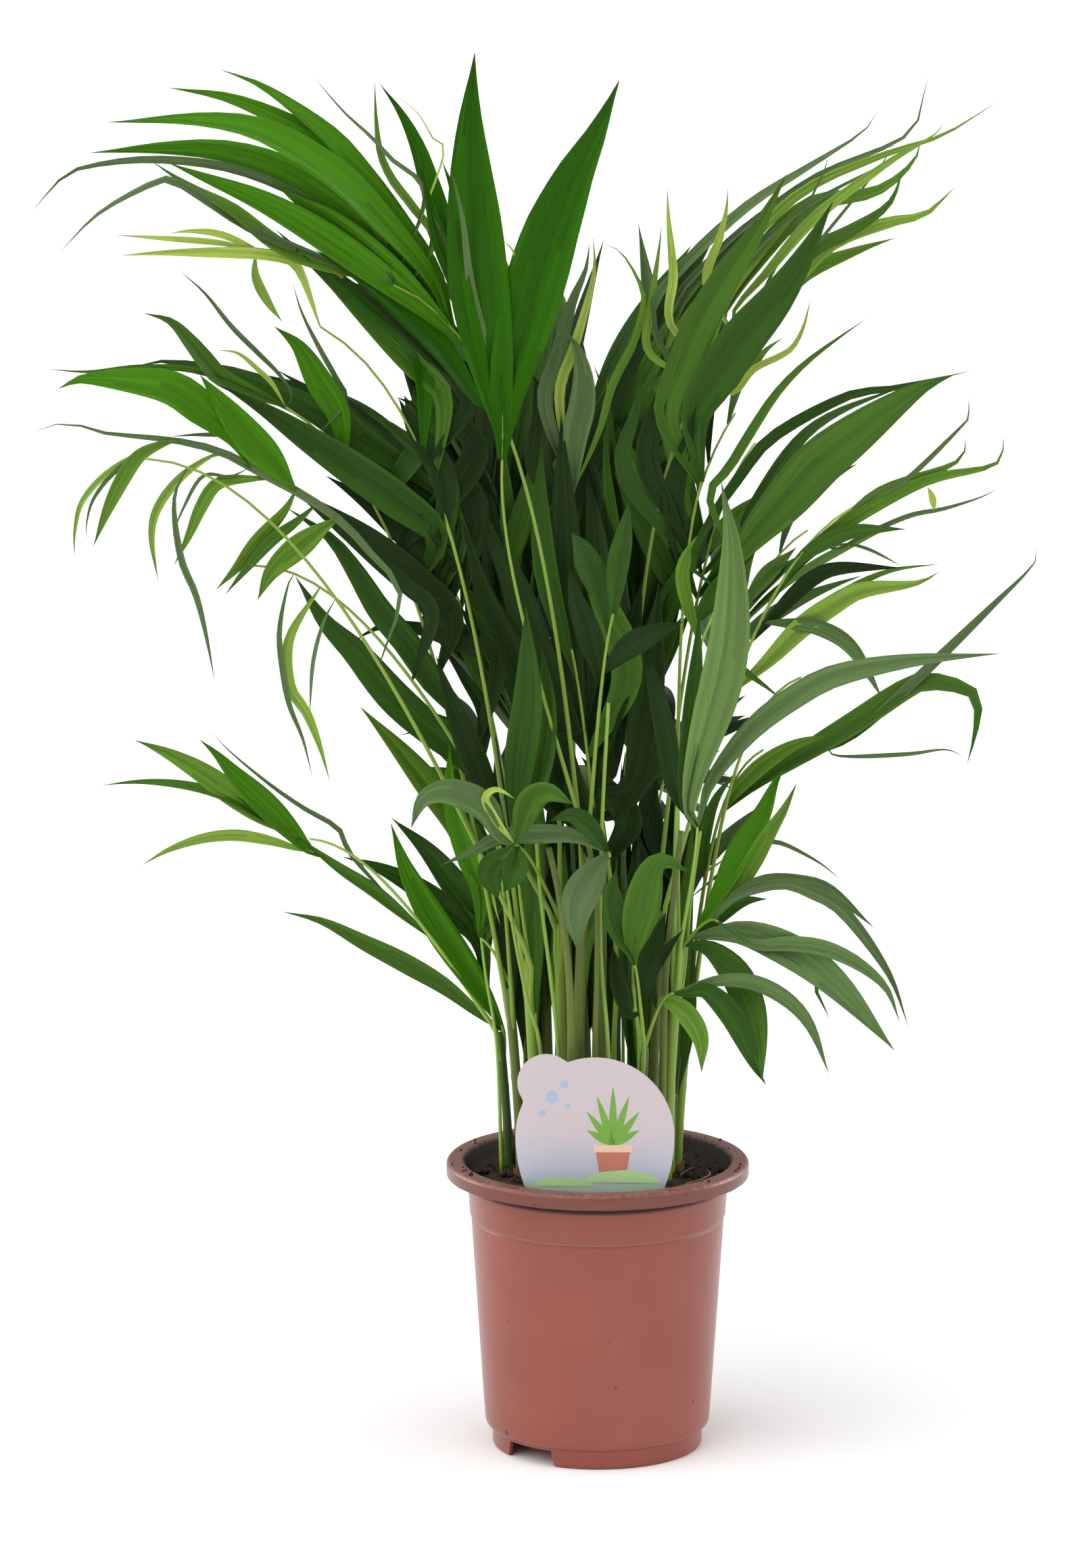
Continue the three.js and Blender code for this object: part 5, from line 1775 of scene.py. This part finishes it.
    Frond("right_pale_blade", Side.RIGHT, 10, (54, -58, 366), -20, 0.95, 1, 176, 21, (7, 7), 20, 0.03, -80,
          LIT, (
        Blade(PALE, 23, ((1018, 1200), (1025, 1150), (1045, 1080), (1065, 1010), (1078, 940), (1082, 860),
                           (1080, 790), (1067, 714)), -34, 14),
        Blade(SAGE, 13.5, ((1048, 1165), (1075, 1124), (1120, 1074), (1180, 1030), (1240, 1000),
                           (1348, 978),
                           (1480, 967)), 6),
        Blade(FOREST, 11, ((1012, 1190), (1022, 1080), (1030, 980), (1035, 900)), -20),
        Blade(DEEP, 12, ((1000, 1170), (985, 1080), (965, 1000), (950, 930)), 8),
    )),
    Frond("right_long", Side.RIGHT, 11, (92, 10, 396), 54, 0.85, 3, 190, 17,
          (14, 8), 5, 0.14, -75, GREENS, (
        Blade(MEADOW, 13, ((1064, 1204), (1129, 1154), (1259, 1074), (1319, 1034), (1369, 1009),
                           (1439, 1026),
                           (1444, 1074), (1431, 1129)), carries=True),
        Blade(BLOOM, 6, ((1185, 1136), (1248, 1098), (1308, 1050), (1388, 974), (1468, 896), (1528, 836),
                         (1534, 810)), -10),
        Blade(BLOOM, 2.6, ((1238, 1118), (1338, 1116), (1398, 1109), (1428, 1121))),
        Blade(BRIGHT, 9.5, ((1063, 1206), (1088, 1171), (1128, 1131), (1178, 1101), (1233, 1086))),
        Blade(MEADOW, 7, ((1018, 1306), (1043, 1246), (1058, 1186), (1089, 1141))),
    )),
    Frond("right_low", Side.RIGHT, 10, (66, -36, 308), 78, 0.8, 4, 118, 17,
          (34, 14), -5, 0.5, -60, GREENS, (
        Blade(BRIGHT, 10, ((1039, 1378), (1069, 1338), (1109, 1278), (1139, 1228), (1159, 1198),
                           (1179, 1158)), -10),
        Blade(VIVID, 13, ((1037, 1378), (1067, 1318), (1097, 1258), (1127, 1208), (1147, 1158),
                          (1162, 1133)), -6),
        Blade(MEADOW, 9, ((1023, 1393), (1073, 1348), (1103, 1333), (1135, 1330))),
        Blade(SAGE, 9, ((1048, 1350), (1088, 1325), (1128, 1305), (1178, 1305), (1228, 1318),
                        (1293, 1373))),
        Blade(BLOOM, 7, ((1069, 1339), (1109, 1319), (1159, 1307), (1199, 1319), (1249, 1349), (1314, 1439),
                         (1344, 1520))),
        Blade(SAGE, 9, ((1111, 1398), (1171, 1398), (1221, 1405), (1271, 1428), (1311, 1463),
                        (1331, 1513))),
        Blade(SAGE, 19, ((1023, 1390), (1063, 1380), (1103, 1380), (1153, 1398), (1203, 1428), (1253, 1473),
                           (1323, 1554)), -36, 8),
        Blade(MEADOW, 4, ((1193, 1438), (1208, 1468), (1218, 1488), (1228, 1510)), -2),
        Blade(MEADOW, 18, ((1005, 1390), (1050, 1403), (1087, 1438), (1110, 1488), (1121, 1538),
                           (1128, 1600)),
              -40, 8),
    )),
    Frond("right_low_front", Side.RIGHT, 8, (42, -38, 268), 64, 0.85, 3, 80, 16, (40, 16), -10, 0.7, -70,
          GREENS, (
        Blade(FOREST, 13, ((1014, 1470), (1046, 1465), (1086, 1505), (1116, 1575), (1133, 1605)), -16),
        Blade(BRIGHT, 12, ((956, 1485), (981, 1480), (1011, 1495), (1036, 1535), (1038, 1587)), -24),
        Blade(SAGE, 9, ((1004, 1459), (1059, 1452), (1114, 1454), (1164, 1479), (1199, 1519),
                        (1226, 1589)), -8),
        Blade(DEEP, 8, ((951, 1485), (961, 1445), (986, 1405), (1011, 1375)), 6),
    )),
    Frond("right_low_upright", Side.RIGHT, 11, (52, 26, 308), 30, 0.9, 2, 92, 14, (20, 10), 5, 0.05, -80,
          GREENS, (
        Blade(BLOOM, 3, ((1096, 1268), (1128, 1249), (1156, 1248), (1211, 1276), (1246, 1304))),
        Blade(BLOOM, 9, ((1018, 1316), (1036, 1286), (1056, 1261), (1096, 1221), (1138, 1184))),
        Blade(DEEP, 14, ((1001, 1306), (1026, 1246), (1046, 1186))),
        Blade(YOUNG, 2.2, ((1036, 1296), (1056, 1282), (1076, 1268))),
        Blade(DEEP, 13, ((981, 1336), (971, 1246), (961, 1176), (946, 1116))),
    )),
    # The back and the far sides
    Frond("back_tall_left", Side.BACK, 3, (-56, 86, 565), 34, 0.5, 7, 170, 17,
          (34, 14), 18, 0.22, 0, SHADED),
    Frond("back_tall", Side.BACK, 12, (-6, 120, 572), 44, 0.5, 7, 168, 17, (34, 14), 18, 0.28, 0, SHADED),
    Frond("back_tall_right", Side.BACK, 13, (78, 112, 570), 40, 0.5, 7, 165, 17,
          (34, 14), 18, 0.28, 0, SHADED),
    Frond("back_left", Side.BACK, 14, (-96, 122, 490), 50, 0.5, 6, 135, 17, (38, 16), 12, 0.32, 0, SHADED),
    Frond("back_right", Side.BACK, 13, (120, 130, 500), 50, 0.5, 6, 118, 17, (38, 16), 12, 0.32, 0, GREENS),
    Frond("back_middle", Side.BACK, 12, (-56, 166, 500), 54, 0.5, 6, 160, 17,
          (38, 16), 12, 0.35, 0, GREENS),
    Frond("back_low_left", Side.BACK, 14, (-72, 104, 380), 45, 0.6, 4, 96, 17, (42, 20), 5, 0.4, 0, SHADED),
    Frond("back_low_right", Side.BACK, 13, (46, 110, 380), 45, 0.6, 4, 104, 17,
          (42, 20), 5, 0.4, 0, SHADED),
    Frond("back_low", Side.BACK, 12, (8, 118, 350), 50, 0.6, 3, 110, 17, (42, 20), 5, 0.45, 0, SHADED),
    Frond("inner_left", Side.BACK, 3, (-56, 30, 450), 10, 0.5, 5, 155, 19, (22, 10), 10, 0.1, 30, SHADED),
    Frond("inner_right", Side.BACK, 7, (26, 36, 460), 8, 0.5, 5, 155, 19, (22, 10), 10, 0.1, -20, SHADED),
    Frond("front_arching", Side.MIDDLE, 5, (10, -100, 500), 44, 0.65, 4, 110, 14, (28, 12), 10, 0.3, 0,
          SHADED, (
        Blade(FOREST, 15, ((905, 940), (885, 870), (862, 820), (845, 788)), -98),
        Blade(DEEP, 14, ((900, 1000), (935, 960), (975, 935), (1010, 920)), 20),
        Blade(DEEP, 14, ((895, 1020), (872, 950), (852, 890), (842, 840)), 14),
        Blade(FOREST, 12, ((908, 905), (915, 840), (925, 790), (930, 740)), -80),
    )),
    Frond("right_back", Side.BACK, 9, (88, 66, 560), 46, 0.5, 6, 118, 15, (32, 14), 12, 0.22, -30, GREENS),
    Frond("left_back", Side.BACK, 3, (-104, 62, 560), 46, 0.5, 6, 128, 16, (32, 14), 12, 0.28, 30, SHADED),
)


@dataclass(frozen=True)
class Shoot:
    """A young shoot between the canes: a thin stalk from the soil, with the leaflets that it carries."""

    skin: Skin
    wide: float
    narrow: float
    foot: tuple[float, float]
    path: tuple[tuple[float, float], ...]
    blades: tuple[Blade, ...] = ()


SHOOTS = (
    Shoot(Skin.CANE, 6.4, 3.8, (-16, -40), ((845, 1565), (842, 1450), (830, 1340), (812, 1255))),
    Shoot(Skin.STALK, 2.8, 1.8, (-31, -36), ((800, 1560), (780, 1480), (760, 1380), (740, 1250))),
    Shoot(Skin.CANE, 4.2, 3.2, (-2, -34), ((880, 1560), (883, 1440), (882, 1330), (868, 1230))),
    Shoot(Skin.YOUNG_STALK, 3.0, 2.2, (6, -30), ((900, 1560), (888, 1400), (890, 1230), (900, 1040)), (
        Blade(DEEP, 16, ((890, 1300), (870, 1240), (850, 1170), (846, 1100)), 10),
    )),
    Shoot(Skin.YOUNG_STALK, 2.6, 1.4, (-54, 8), ((735, 1550), (718, 1440), (705, 1330), (690, 1230)), (
        Blade(MEADOW, 10, ((745, 1400), (720, 1350), (700, 1300)), 4),
    )),
    Shoot(Skin.DARK_CANE, 4.6, 3.0, (-36, 20), ((784, 1550), (776, 1440), (772, 1330), (770, 1200)), (
        Blade(DEEP, 19, ((785, 1450), (782, 1390), (775, 1330), (776, 1270)), 6),
    )),
    Shoot(Skin.YOUNG_STALK, 3.2, 2.2, (-20, -22), ((826, 1560), (815, 1450), (800, 1330), (792, 1220))),
    Shoot(Skin.DARK_CANE, 3.4, 2.4, (-8, 10), ((868, 1550), (862, 1430), (850, 1300), (842, 1180)), (
        Blade(DEEP, 20, ((862, 1430), (846, 1370), (828, 1310), (822, 1240)), 4),
        Blade(DEEP, 18, ((858, 1400), (872, 1330), (880, 1270), (876, 1200)), 6),
    )),
    Shoot(Skin.STALK, 4.0, 2.6, (10, -16), ((908, 1560), (912, 1440), (905, 1320), (890, 1220))),
    Shoot(Skin.DARK_CANE, 4.4, 2.8, (18, 12), ((932, 1550), (930, 1430), (925, 1320), (918, 1200)), (
        Blade(DEEP, 18, ((931, 1450), (945, 1380), (950, 1310), (944, 1230)), 6),
    )),
    Shoot(Skin.YOUNG_STALK, 3.6, 2.4, (22, -22), ((946, 1555), (938, 1480), (937, 1405))),
    Shoot(Skin.CANE, 5.4, 3.6, (35, -20), ((981, 1550), (985, 1440), (996, 1330), (1008, 1230))),
    Shoot(Skin.YOUNG_STALK, 2.6, 1.8, (42, -4), ((998, 1550), (1012, 1440), (1022, 1330), (1036, 1230))),
)


@dataclass
class Thicket:
    """The young shoots that fill the middle of the clump, each a stalk with one upright leaf."""

    count: int = 36
    half_width: float = 44.0
    depths: tuple[float, float] = (4.0, 38.0)
    heights: tuple[float, float] = (130.0, 255.0)
    widths: tuple[float, float] = (9.0, 17.0)
    tones: tuple[Tone, ...] = SHADED
    seed: int = 6100

    def grow(self, crown: "Crown", sketch: Sketch, stalks: Sketch) -> None:
        """Adds the shoots.

        Args:
            crown: The crown, which knows how a blade is made.
            sketch: What the leaves are added to.
            stalks: What their stalks are added to.
        """
        for i in range(self.count):
            chance = seeded_chance(self.seed + i)
            x = lerp(-self.half_width, self.half_width, (i + chance()) / self.count)
            foot = Vector((x, lerp(*self.depths, chance()), SOIL_TOP - 1))
            height = lerp(*self.heights, chance())
            lean = Vector((x * 0.18 + lerp(-9, 9, chance()), lerp(-4, 8, chance()), 0.0))
            fork = foot + lean * 0.35 + UP * height * lerp(0.32, 0.5, chance())
            crown.add_stalk(stalks, [foot, foot.lerp(fork, 0.5) - lean * 0.08, fork], (1.5, 1.0),
                            (Skin.YOUNG_STALK, Skin.STALK, Skin.DARK_CANE)[i % 3])
            tip = foot + lean + UP * height
            middle = fork.lerp(tip, 0.5) + Vector((lerp(-3, 3, chance()), 0.0, 0.0))
            tone = self.tones[i % len(self.tones)]
            path = smooth_path([fork - UP * 2, middle, tip], crown.stations)
            crown.add_blade(sketch, path, lerp(*self.widths, chance()), Vector((0.0, -1.0, 0.2)),
                            lerp(-30, 30, chance()), tone, chance)


@dataclass
class Rib:
    """The rib of a frond: a curve in the upright plane through its foot and its tip."""

    foot: Vector
    tip: Vector
    arch: float
    # The part's own rule for the handles: their share of the arch, and of the chord
    bends: tuple[float, float] = (0.2, 0.8)
    handles: tuple[float, float] = (0.45, 0.22)
    step: float = 0.004

    def __post_init__(self) -> None:
        """Works out the curve's two handles."""
        across = Vector((self.tip.x - self.foot.x, self.tip.y - self.foot.y, 0.0))
        self.out = across.normalized()
        rise = self.tip.z - self.foot.z
        chord = math.hypot(across.length, rise)
        lean = math.atan2(across.length, rise)
        bend = math.radians(self.arch)
        self.first = self.foot + self.heading(lean - bend * self.bends[0]) * chord * self.handles[0]
        self.second = self.tip - self.heading(lean + bend * self.bends[1]) * chord * self.handles[1]

    def heading(self, angle: float) -> Vector:
        """Returns the direction at an angle from upright, in the rib's plane."""
        return self.out * math.sin(angle) + UP * math.cos(angle)

    def point(self, share: float) -> Vector:
        """Returns the point at a share of the curve."""
        rest = 1 - share
        return (self.foot * rest ** 3 + self.first * 3 * rest ** 2 * share
                + self.second * 3 * rest * share ** 2 + self.tip * share ** 3)

    def tangent(self, share: float) -> Vector:
        """Returns the curve's direction at a share of it."""
        before, after = max(0.0, share - self.step), min(1.0, share + self.step)
        return (self.point(after) - self.point(before)).normalized()

    def axes(self, share: float, roll: float) -> tuple[Vector, Vector]:
        """Finds how the frond's face lies.

        Args:
            share: The place along the rib.
            roll: How far the face is turned about the rib, in degrees.

        Returns:
            The direction to its side and the direction that it faces.
        """
        side = self.out.cross(UP).normalized()
        face = side.cross(self.tangent(share)).normalized()
        turn = math.radians(roll)
        return (side * math.cos(turn) + face * math.sin(turn),
                face * math.cos(turn) - side * math.sin(turn))


@dataclass
class Crown:
    """All fronds: ribs grown from the stems' tops by the part's own rule, and their leaflets."""

    camera: PortraitCamera
    stations: int = 20
    spine_steps: int = 60
    shoot_seed: int = 8000
    finer: float = 1.8
    rib_sides: int = 9
    rib_steps: int = 26
    rib_foot_radius: float = 1.9
    rib_tip_radius: float = 0.75
    across: tuple[float, ...] = (-1.0, -0.8, -0.5, -0.24, 0.0, 0.28, 0.52, 0.76, 1.0)
    pleat: float = 0.05
    dry_tips: float = 0.07
    # The share of its stem at which a frond starts
    clasp: float = 0.72
    # Where a blade is widest, and its width at the root as a share of that
    widest: float = 0.45
    neck: float = 0.14
    # How far a drawn leaflet may stray, as a share of its reach and in degrees
    drawn_depth: float = 0.22
    drawn_turn: float = 34.0
    # How a blade twists, in degrees, and how it folds and ripples, as shares of half its width
    twist: float = 22.0
    keels: tuple[float, float] = (0.22, 0.46)
    ripple: float = 0.06
    # The shares of its length at which a seeded leaflet is tried until it stays out of the gaps
    tries: tuple[float, ...] = (1.0, 0.78, 0.58, 0.42)
    # A path's first pixel is dropped where it lies further from the rib than this, in pixels,
    # and the path would turn there by more than the hook
    near: float = 4.0
    hook: float = math.radians(80)
    # Round gaps that the photograph shows between the leaves, each a pixel and a radius in pixels
    gaps: tuple[tuple[float, float, float], ...] = (
        (530, 505, 20), (565, 560, 28), (585, 610, 20), (520, 805, 22), (570, 845, 26), (640, 835, 36),
        (665, 870, 28), (620, 800, 26), (560, 1030, 26), (600, 1090, 22), (640, 970, 20), (560, 1120, 20),
        (715, 1080, 14), (1180, 475, 34), (1240, 450, 34), (1290, 430, 26), (1140, 560, 30),
        (1110, 640, 38), (1100, 710, 30),
        (1165, 680, 24), (1200, 610, 22), (1280, 560, 26), (1250, 755, 26), (1190, 780, 20),
        (1300, 700, 24),
        (1140, 790, 18), (1075, 600, 18), (1050, 640, 14),
        (1055, 690, 18), (1040, 730, 12), (905, 520, 16), (885, 600, 12), (925, 470, 14), (1150, 960, 18),
        (1120, 1040, 20), (1180, 1100, 20), (1110, 1095, 16), (890, 470, 18),
        (930, 430, 18), (1030, 860, 16), (470, 480, 22), (420, 420, 22), (1150, 720, 18), (1350, 640, 26),
    )

    def foot(self, frond: Frond) -> Vector:
        """Finds where a frond's rib leaves its stem's top.

        Args:
            frond: The frond.

        Returns:
            The point, on a ring that the stem's fronds share by their bearings.
        """
        x, y, z = STEMS[frond.stem].top

        def bearing(other: Frond) -> float:
            """Returns the bearing of a frond's tip from the stem."""
            return math.atan2(other.tip[1] - y, other.tip[0] - x)

        mates = sorted((other for other in FRONDS if other.stem == frond.stem), key=bearing)
        turn = bearing(mates[0]) + mates.index(frond) / len(mates) * TURN
        ring = 1.3 + 0.42 * len(mates) if len(mates) > 1 else 0.0
        return Vector((x + math.cos(turn) * ring, y + math.sin(turn) * ring, z + GAP))

    def build(self) -> None:
        """Grows every frond and joins them into one piece for each side, and one for the ribs."""
        leaves = {side: Sketch() for side in Side}
        ribs = Sketch()
        members: dict[Side, list[str]] = {side: [] for side in Side}
        for index, frond in enumerate(FRONDS):
            rib = Rib(self.foot(frond), Vector(frond.tip), frond.arch)
            self.add_rib(ribs, frond, rib)
            members[frond.side].append(f"frond_{frond.name}")
            spine = [rib.point(k / self.spine_steps) for k in range(self.spine_steps + 1)]
            for number, blade in enumerate(frond.blades):
                chance = seeded_chance(index * 331 + number * 7 + 3)
                line = self.add_drawn(leaves[frond.side], spine, blade, chance)
                if blade.carries:
                    spine = spine + line
            if not frond.blades:
                self.add_seeded(leaves[frond.side], rib, frond, index)
        for index, shoot in enumerate(SHOOTS):
            self.add_shoot(ribs, leaves[Side.MIDDLE], shoot, self.shoot_seed + index * 20)
        Thicket().grow(self, leaves[Side.MIDDLE], ribs)
        greens = dress_leaves()
        for side, sketch in leaves.items():
            mount(sketch.build(f"leaflets_{side.value}", greens), members[side])
        mount(ribs.build("frond_ribs", dress(Skin)))

    def add_rib(self, sketch: Sketch, frond: Frond, rib: Rib) -> None:
        """Adds a frond's stalk and rib, which clasp the stem below its top.

        Args:
            sketch: What they are added to.
            frond: The frond.
            rib: Its rib.
        """
        stem = STEMS[frond.stem]
        low = stem.centre(self.clasp)
        knots = [low, low.lerp(rib.foot, 0.6) + (rib.foot - Vector(stem.top)) * 0.2]
        knots += [rib.point(k / 12) for k in range(13)]
        # Fronds of the lit family get the paler stalk, painted light like their leaflets
        skin = Skin.STALK if frond.tones is not LIT else Skin.YOUNG_STALK

        def size(share: float) -> float:
            """Returns the rib's radius at a share of its length."""
            return lerp(self.rib_foot_radius, self.rib_tip_radius, share ** 0.8)

        sketch.tube(smooth_path(knots, self.rib_steps), size, 0.14, self.rib_sides, skin.number)

    def add_stalk(self, sketch: Sketch, knots: Sequence[Vector], radii: tuple[float, float],
                  skin: Skin) -> list[Vector]:
        """Adds a thin stalk.

        Args:
            sketch: What it is added to.
            knots: The points that it passes.
            radii: Its radius at its foot and at its top.
            skin: Its skin.

        Returns:
            The stalk's centre line.
        """
        path = smooth_path(knots, self.rib_steps)
        sketch.tube(path, lambda share: lerp(*radii, share), 0.1, self.rib_sides, skin.number)
        return path

    def add_shoot(self, stalks: Sketch, leaves: Sketch, shoot: Shoot, seed: int) -> None:
        """Adds a young shoot with its leaflets.

        Args:
            stalks: What its stalk is added to.
            leaves: What its leaflets are added to.
            shoot: The shoot.
            seed: A whole number that picks its leaflets' differences.
        """
        x, y = shoot.foot
        knots = [Vector((x, y, SOIL_TOP - 1))]
        knots += [self.camera.spot(pixel, y - 1.5 * k) for k, pixel in enumerate(shoot.path)]
        spine = self.add_stalk(stalks, knots, (shoot.wide / 2, shoot.narrow / 2), shoot.skin)
        for number, blade in enumerate(shoot.blades):
            self.add_drawn(leaves, spine, blade, seeded_chance(seed + number))

    def add_drawn(self, sketch: Sketch, spine: Sequence[Vector], blade: Blade,
                  chance: Callable[[], float]) -> list[Vector]:
        """Adds a leaflet that passes the photograph's pixels.

        Args:
            sketch: What it is added to.
            spine: The rib or stalk that it grows from.
            blade: The leaflet.
            chance: A run of numbers for its differences.

        Returns:
            Its midrib.
        """
        goal = Vector(blade.path[0])
        root = min(spine, key=lambda point: (self.camera.pixel(point) - goal).length)
        pixels = [Vector(pixel) for pixel in blade.path]
        start = self.camera.pixel(root)
        first = pixels[0] - start
        if len(pixels) > 2 and first.length > self.near and first.angle(pixels[1] - pixels[0]) > self.hook:
            pixels.pop(0)
        reach = (pixels[-1] - goal).length * 0.375
        depth = blade.depth if blade.depth is not None else (chance() * 2 - 1) * self.drawn_depth * reach
        knots = [root]
        for k, pixel in enumerate(pixels):
            share = (k + 0.5) / (len(pixels) - 0.5)
            spot = self.camera.spot(pixel, root.y + depth * share ** 1.3)
            if k or (spot - root).length > 6:
                knots.append(spot)
        turn = blade.turn if blade.turn is not None else (chance() * 2 - 1) * self.drawn_turn
        path = smooth_path(knots, self.stations)
        toward = Vector((0.0, -1.0, 0.25))
        width = blade.width / math.cos(math.radians(turn))
        self.add_blade(sketch, path, width, toward, turn, blade.tone, chance)
        return path

    def add_seeded(self, sketch: Sketch, rib: Rib, frond: Frond, index: int) -> None:
        """Adds a frond's leaflets by the part's own seeded rule, more of them and slimmer.

        Args:
            sketch: What they are added to.
            rib: The rib that they grow from.
            frond: The frond.
            index: Its number, which seeds its leaflets.
        """
        pairs = round(frond.pairs * self.finer)
        for i in range(pairs):
            share = i / (pairs - 1)
            for hand in (1, -1):
                chance = seeded_chance(index * 1000 + i * 10 + hand + 5)

                def sway(amount: float) -> float:
                    """Returns a seeded value within the amount to either side of zero."""
                    return (chance() * 2 - 1) * amount

                at = min(0.995, frond.bare + (1 - frond.bare) * (share + sway(0.15) / pairs))
                swell = 0.84 + 0.8 * share - 1.02 * share * share
                angle = math.radians(lerp(*frond.spread, share) * (1 + sway(0.22)))
                lift = math.radians(frond.vee + sway(9))
                length = frond.long * swell * (1 + sway(0.1))
                width = frond.wide * 0.86 * (1 + sway(0.12))
                droop = frond.droop * (1 + sway(0.3))
                twist = sway(24)
                tangent = rib.tangent(at)
                side, face = rib.axes(at, frond.roll)
                outward = side * hand * math.cos(lift) + face * math.sin(lift)
                along = tangent * math.cos(angle) + outward * math.sin(angle)
                pull = rib.out * 0.6 * max(0.0, 1 - droop) - UP * 0.8
                fall = pull - along * pull.dot(along)
                base = rib.point(at)
                for cut in self.tries:
                    steps = [k / self.stations for k in range(self.stations + 1)]
                    path = [base + (along * u + fall * droop * u * u * cut) * length * cut for u in steps]
                    if not self.in_gap(path):
                        break
                else:
                    continue
                tone = frond.tones[int(chance() * len(frond.tones)) % len(frond.tones)]
                self.add_blade(sketch, path, width, face, twist, tone, chance)

    def in_gap(self, path: Sequence[Vector]) -> bool:
        """Returns whether a leaflet would cross a gap that the photograph shows."""
        spots = [self.camera.pixel(point) for point in path[4:]]
        return any((spot - Vector((x, y))).length < radius for x, y, radius in self.gaps for spot in spots)

    def width_share(self, u: float) -> float:
        """Finds how wide a blade is.

        Args:
            u: The place on its midrib, as a share of its length.

        Returns:
            The width there, as a share of its greatest width.
        """
        if u < self.widest:
            return lerp(self.neck, 1.0, math.sin(u / self.widest * math.pi / 2) ** 1.15)
        return max(0.012, math.cos((u - self.widest) / (1 - self.widest) * math.pi / 2) ** 1.1)

    def add_blade(self, sketch: Sketch, path: Sequence[Vector], width: float, facing: Vector, turn: float,
                  tone: Tone, chance: Callable[[], float]) -> None:
        """Adds one folded, tapering blade.

        Args:
            sketch: What it is added to.
            path: Its midrib, from root to tip.
            width: Its greatest width.
            facing: The direction that its upper face looks in.
            turn: How far it is turned about its midrib, in degrees.
            tone: Its green.
            chance: A run of numbers for its differences.
        """
        last = len(path) - 1
        twist = (chance() * 2 - 1) * self.twist
        keel = lerp(*self.keels, chance())
        wave = chance() * TURN
        dry = chance() < self.dry_tips
        # Each pleat gets a darker or paler copy of the green: painted shade and light that stand for its
        # folds catching the light
        pleat_light_and_shade = [(int(chance() * 3) - 1, int(chance() * 3) - 1, int(chance() * last))
                        for _ in self.across]
        pleats = [self.pleat * (1 if i % 2 else -1) for i in range(len(self.across))]
        rows = []
        for k, point in enumerate(path):
            u = k / last
            along = (path[min(k + 1, last)] - path[max(k - 1, 0)]).normalized()
            face = (facing - along * facing.dot(along)).normalized()
            face.rotate(Matrix.Rotation(math.radians(turn + twist * (u - 0.35)), 3, along))
            aside = along.cross(face)
            half = width / 2 * self.width_share(u)
            fold = keel * (1.5 - u)
            ripple = self.ripple * math.sin(wave + u * 9)
            rows.append([point + aside * half * s + face * half * (fold * abs(s) + ripple * s + pleat)
                         for s, pleat in zip(self.across, pleats)])

        def slot(row: int, column: int) -> int:
            """Picks a pleat's painted shade or light, which changes once on its way, and brown at a dry tip.

            Args:
                row: The place along the blade.
                column: The pleat.

            Returns:
                The material's number.
            """
            early, late, change = pleat_light_and_shade[column]
            shade = early if row < change else late
            return (Tone.DRY if dry and row >= last - 1 else tone).number(shade)

        sketch.grid(rows, slot, grain_width=width)


def main() -> None:
    """Builds the plant from the pot up, then the studio round it."""
    logging.basicConfig(level=logging.INFO, format="%(name)s: %(message)s")
    camera = PortraitCamera()
    camera.build()
    NurseryPot().build()
    PottingSoil().build()
    PlantLabel().build()
    Canes().build()
    Crown(camera).build()
    Studio().build()
    bpy.context.view_layer.update()


if __name__ == "__main__":
    main()
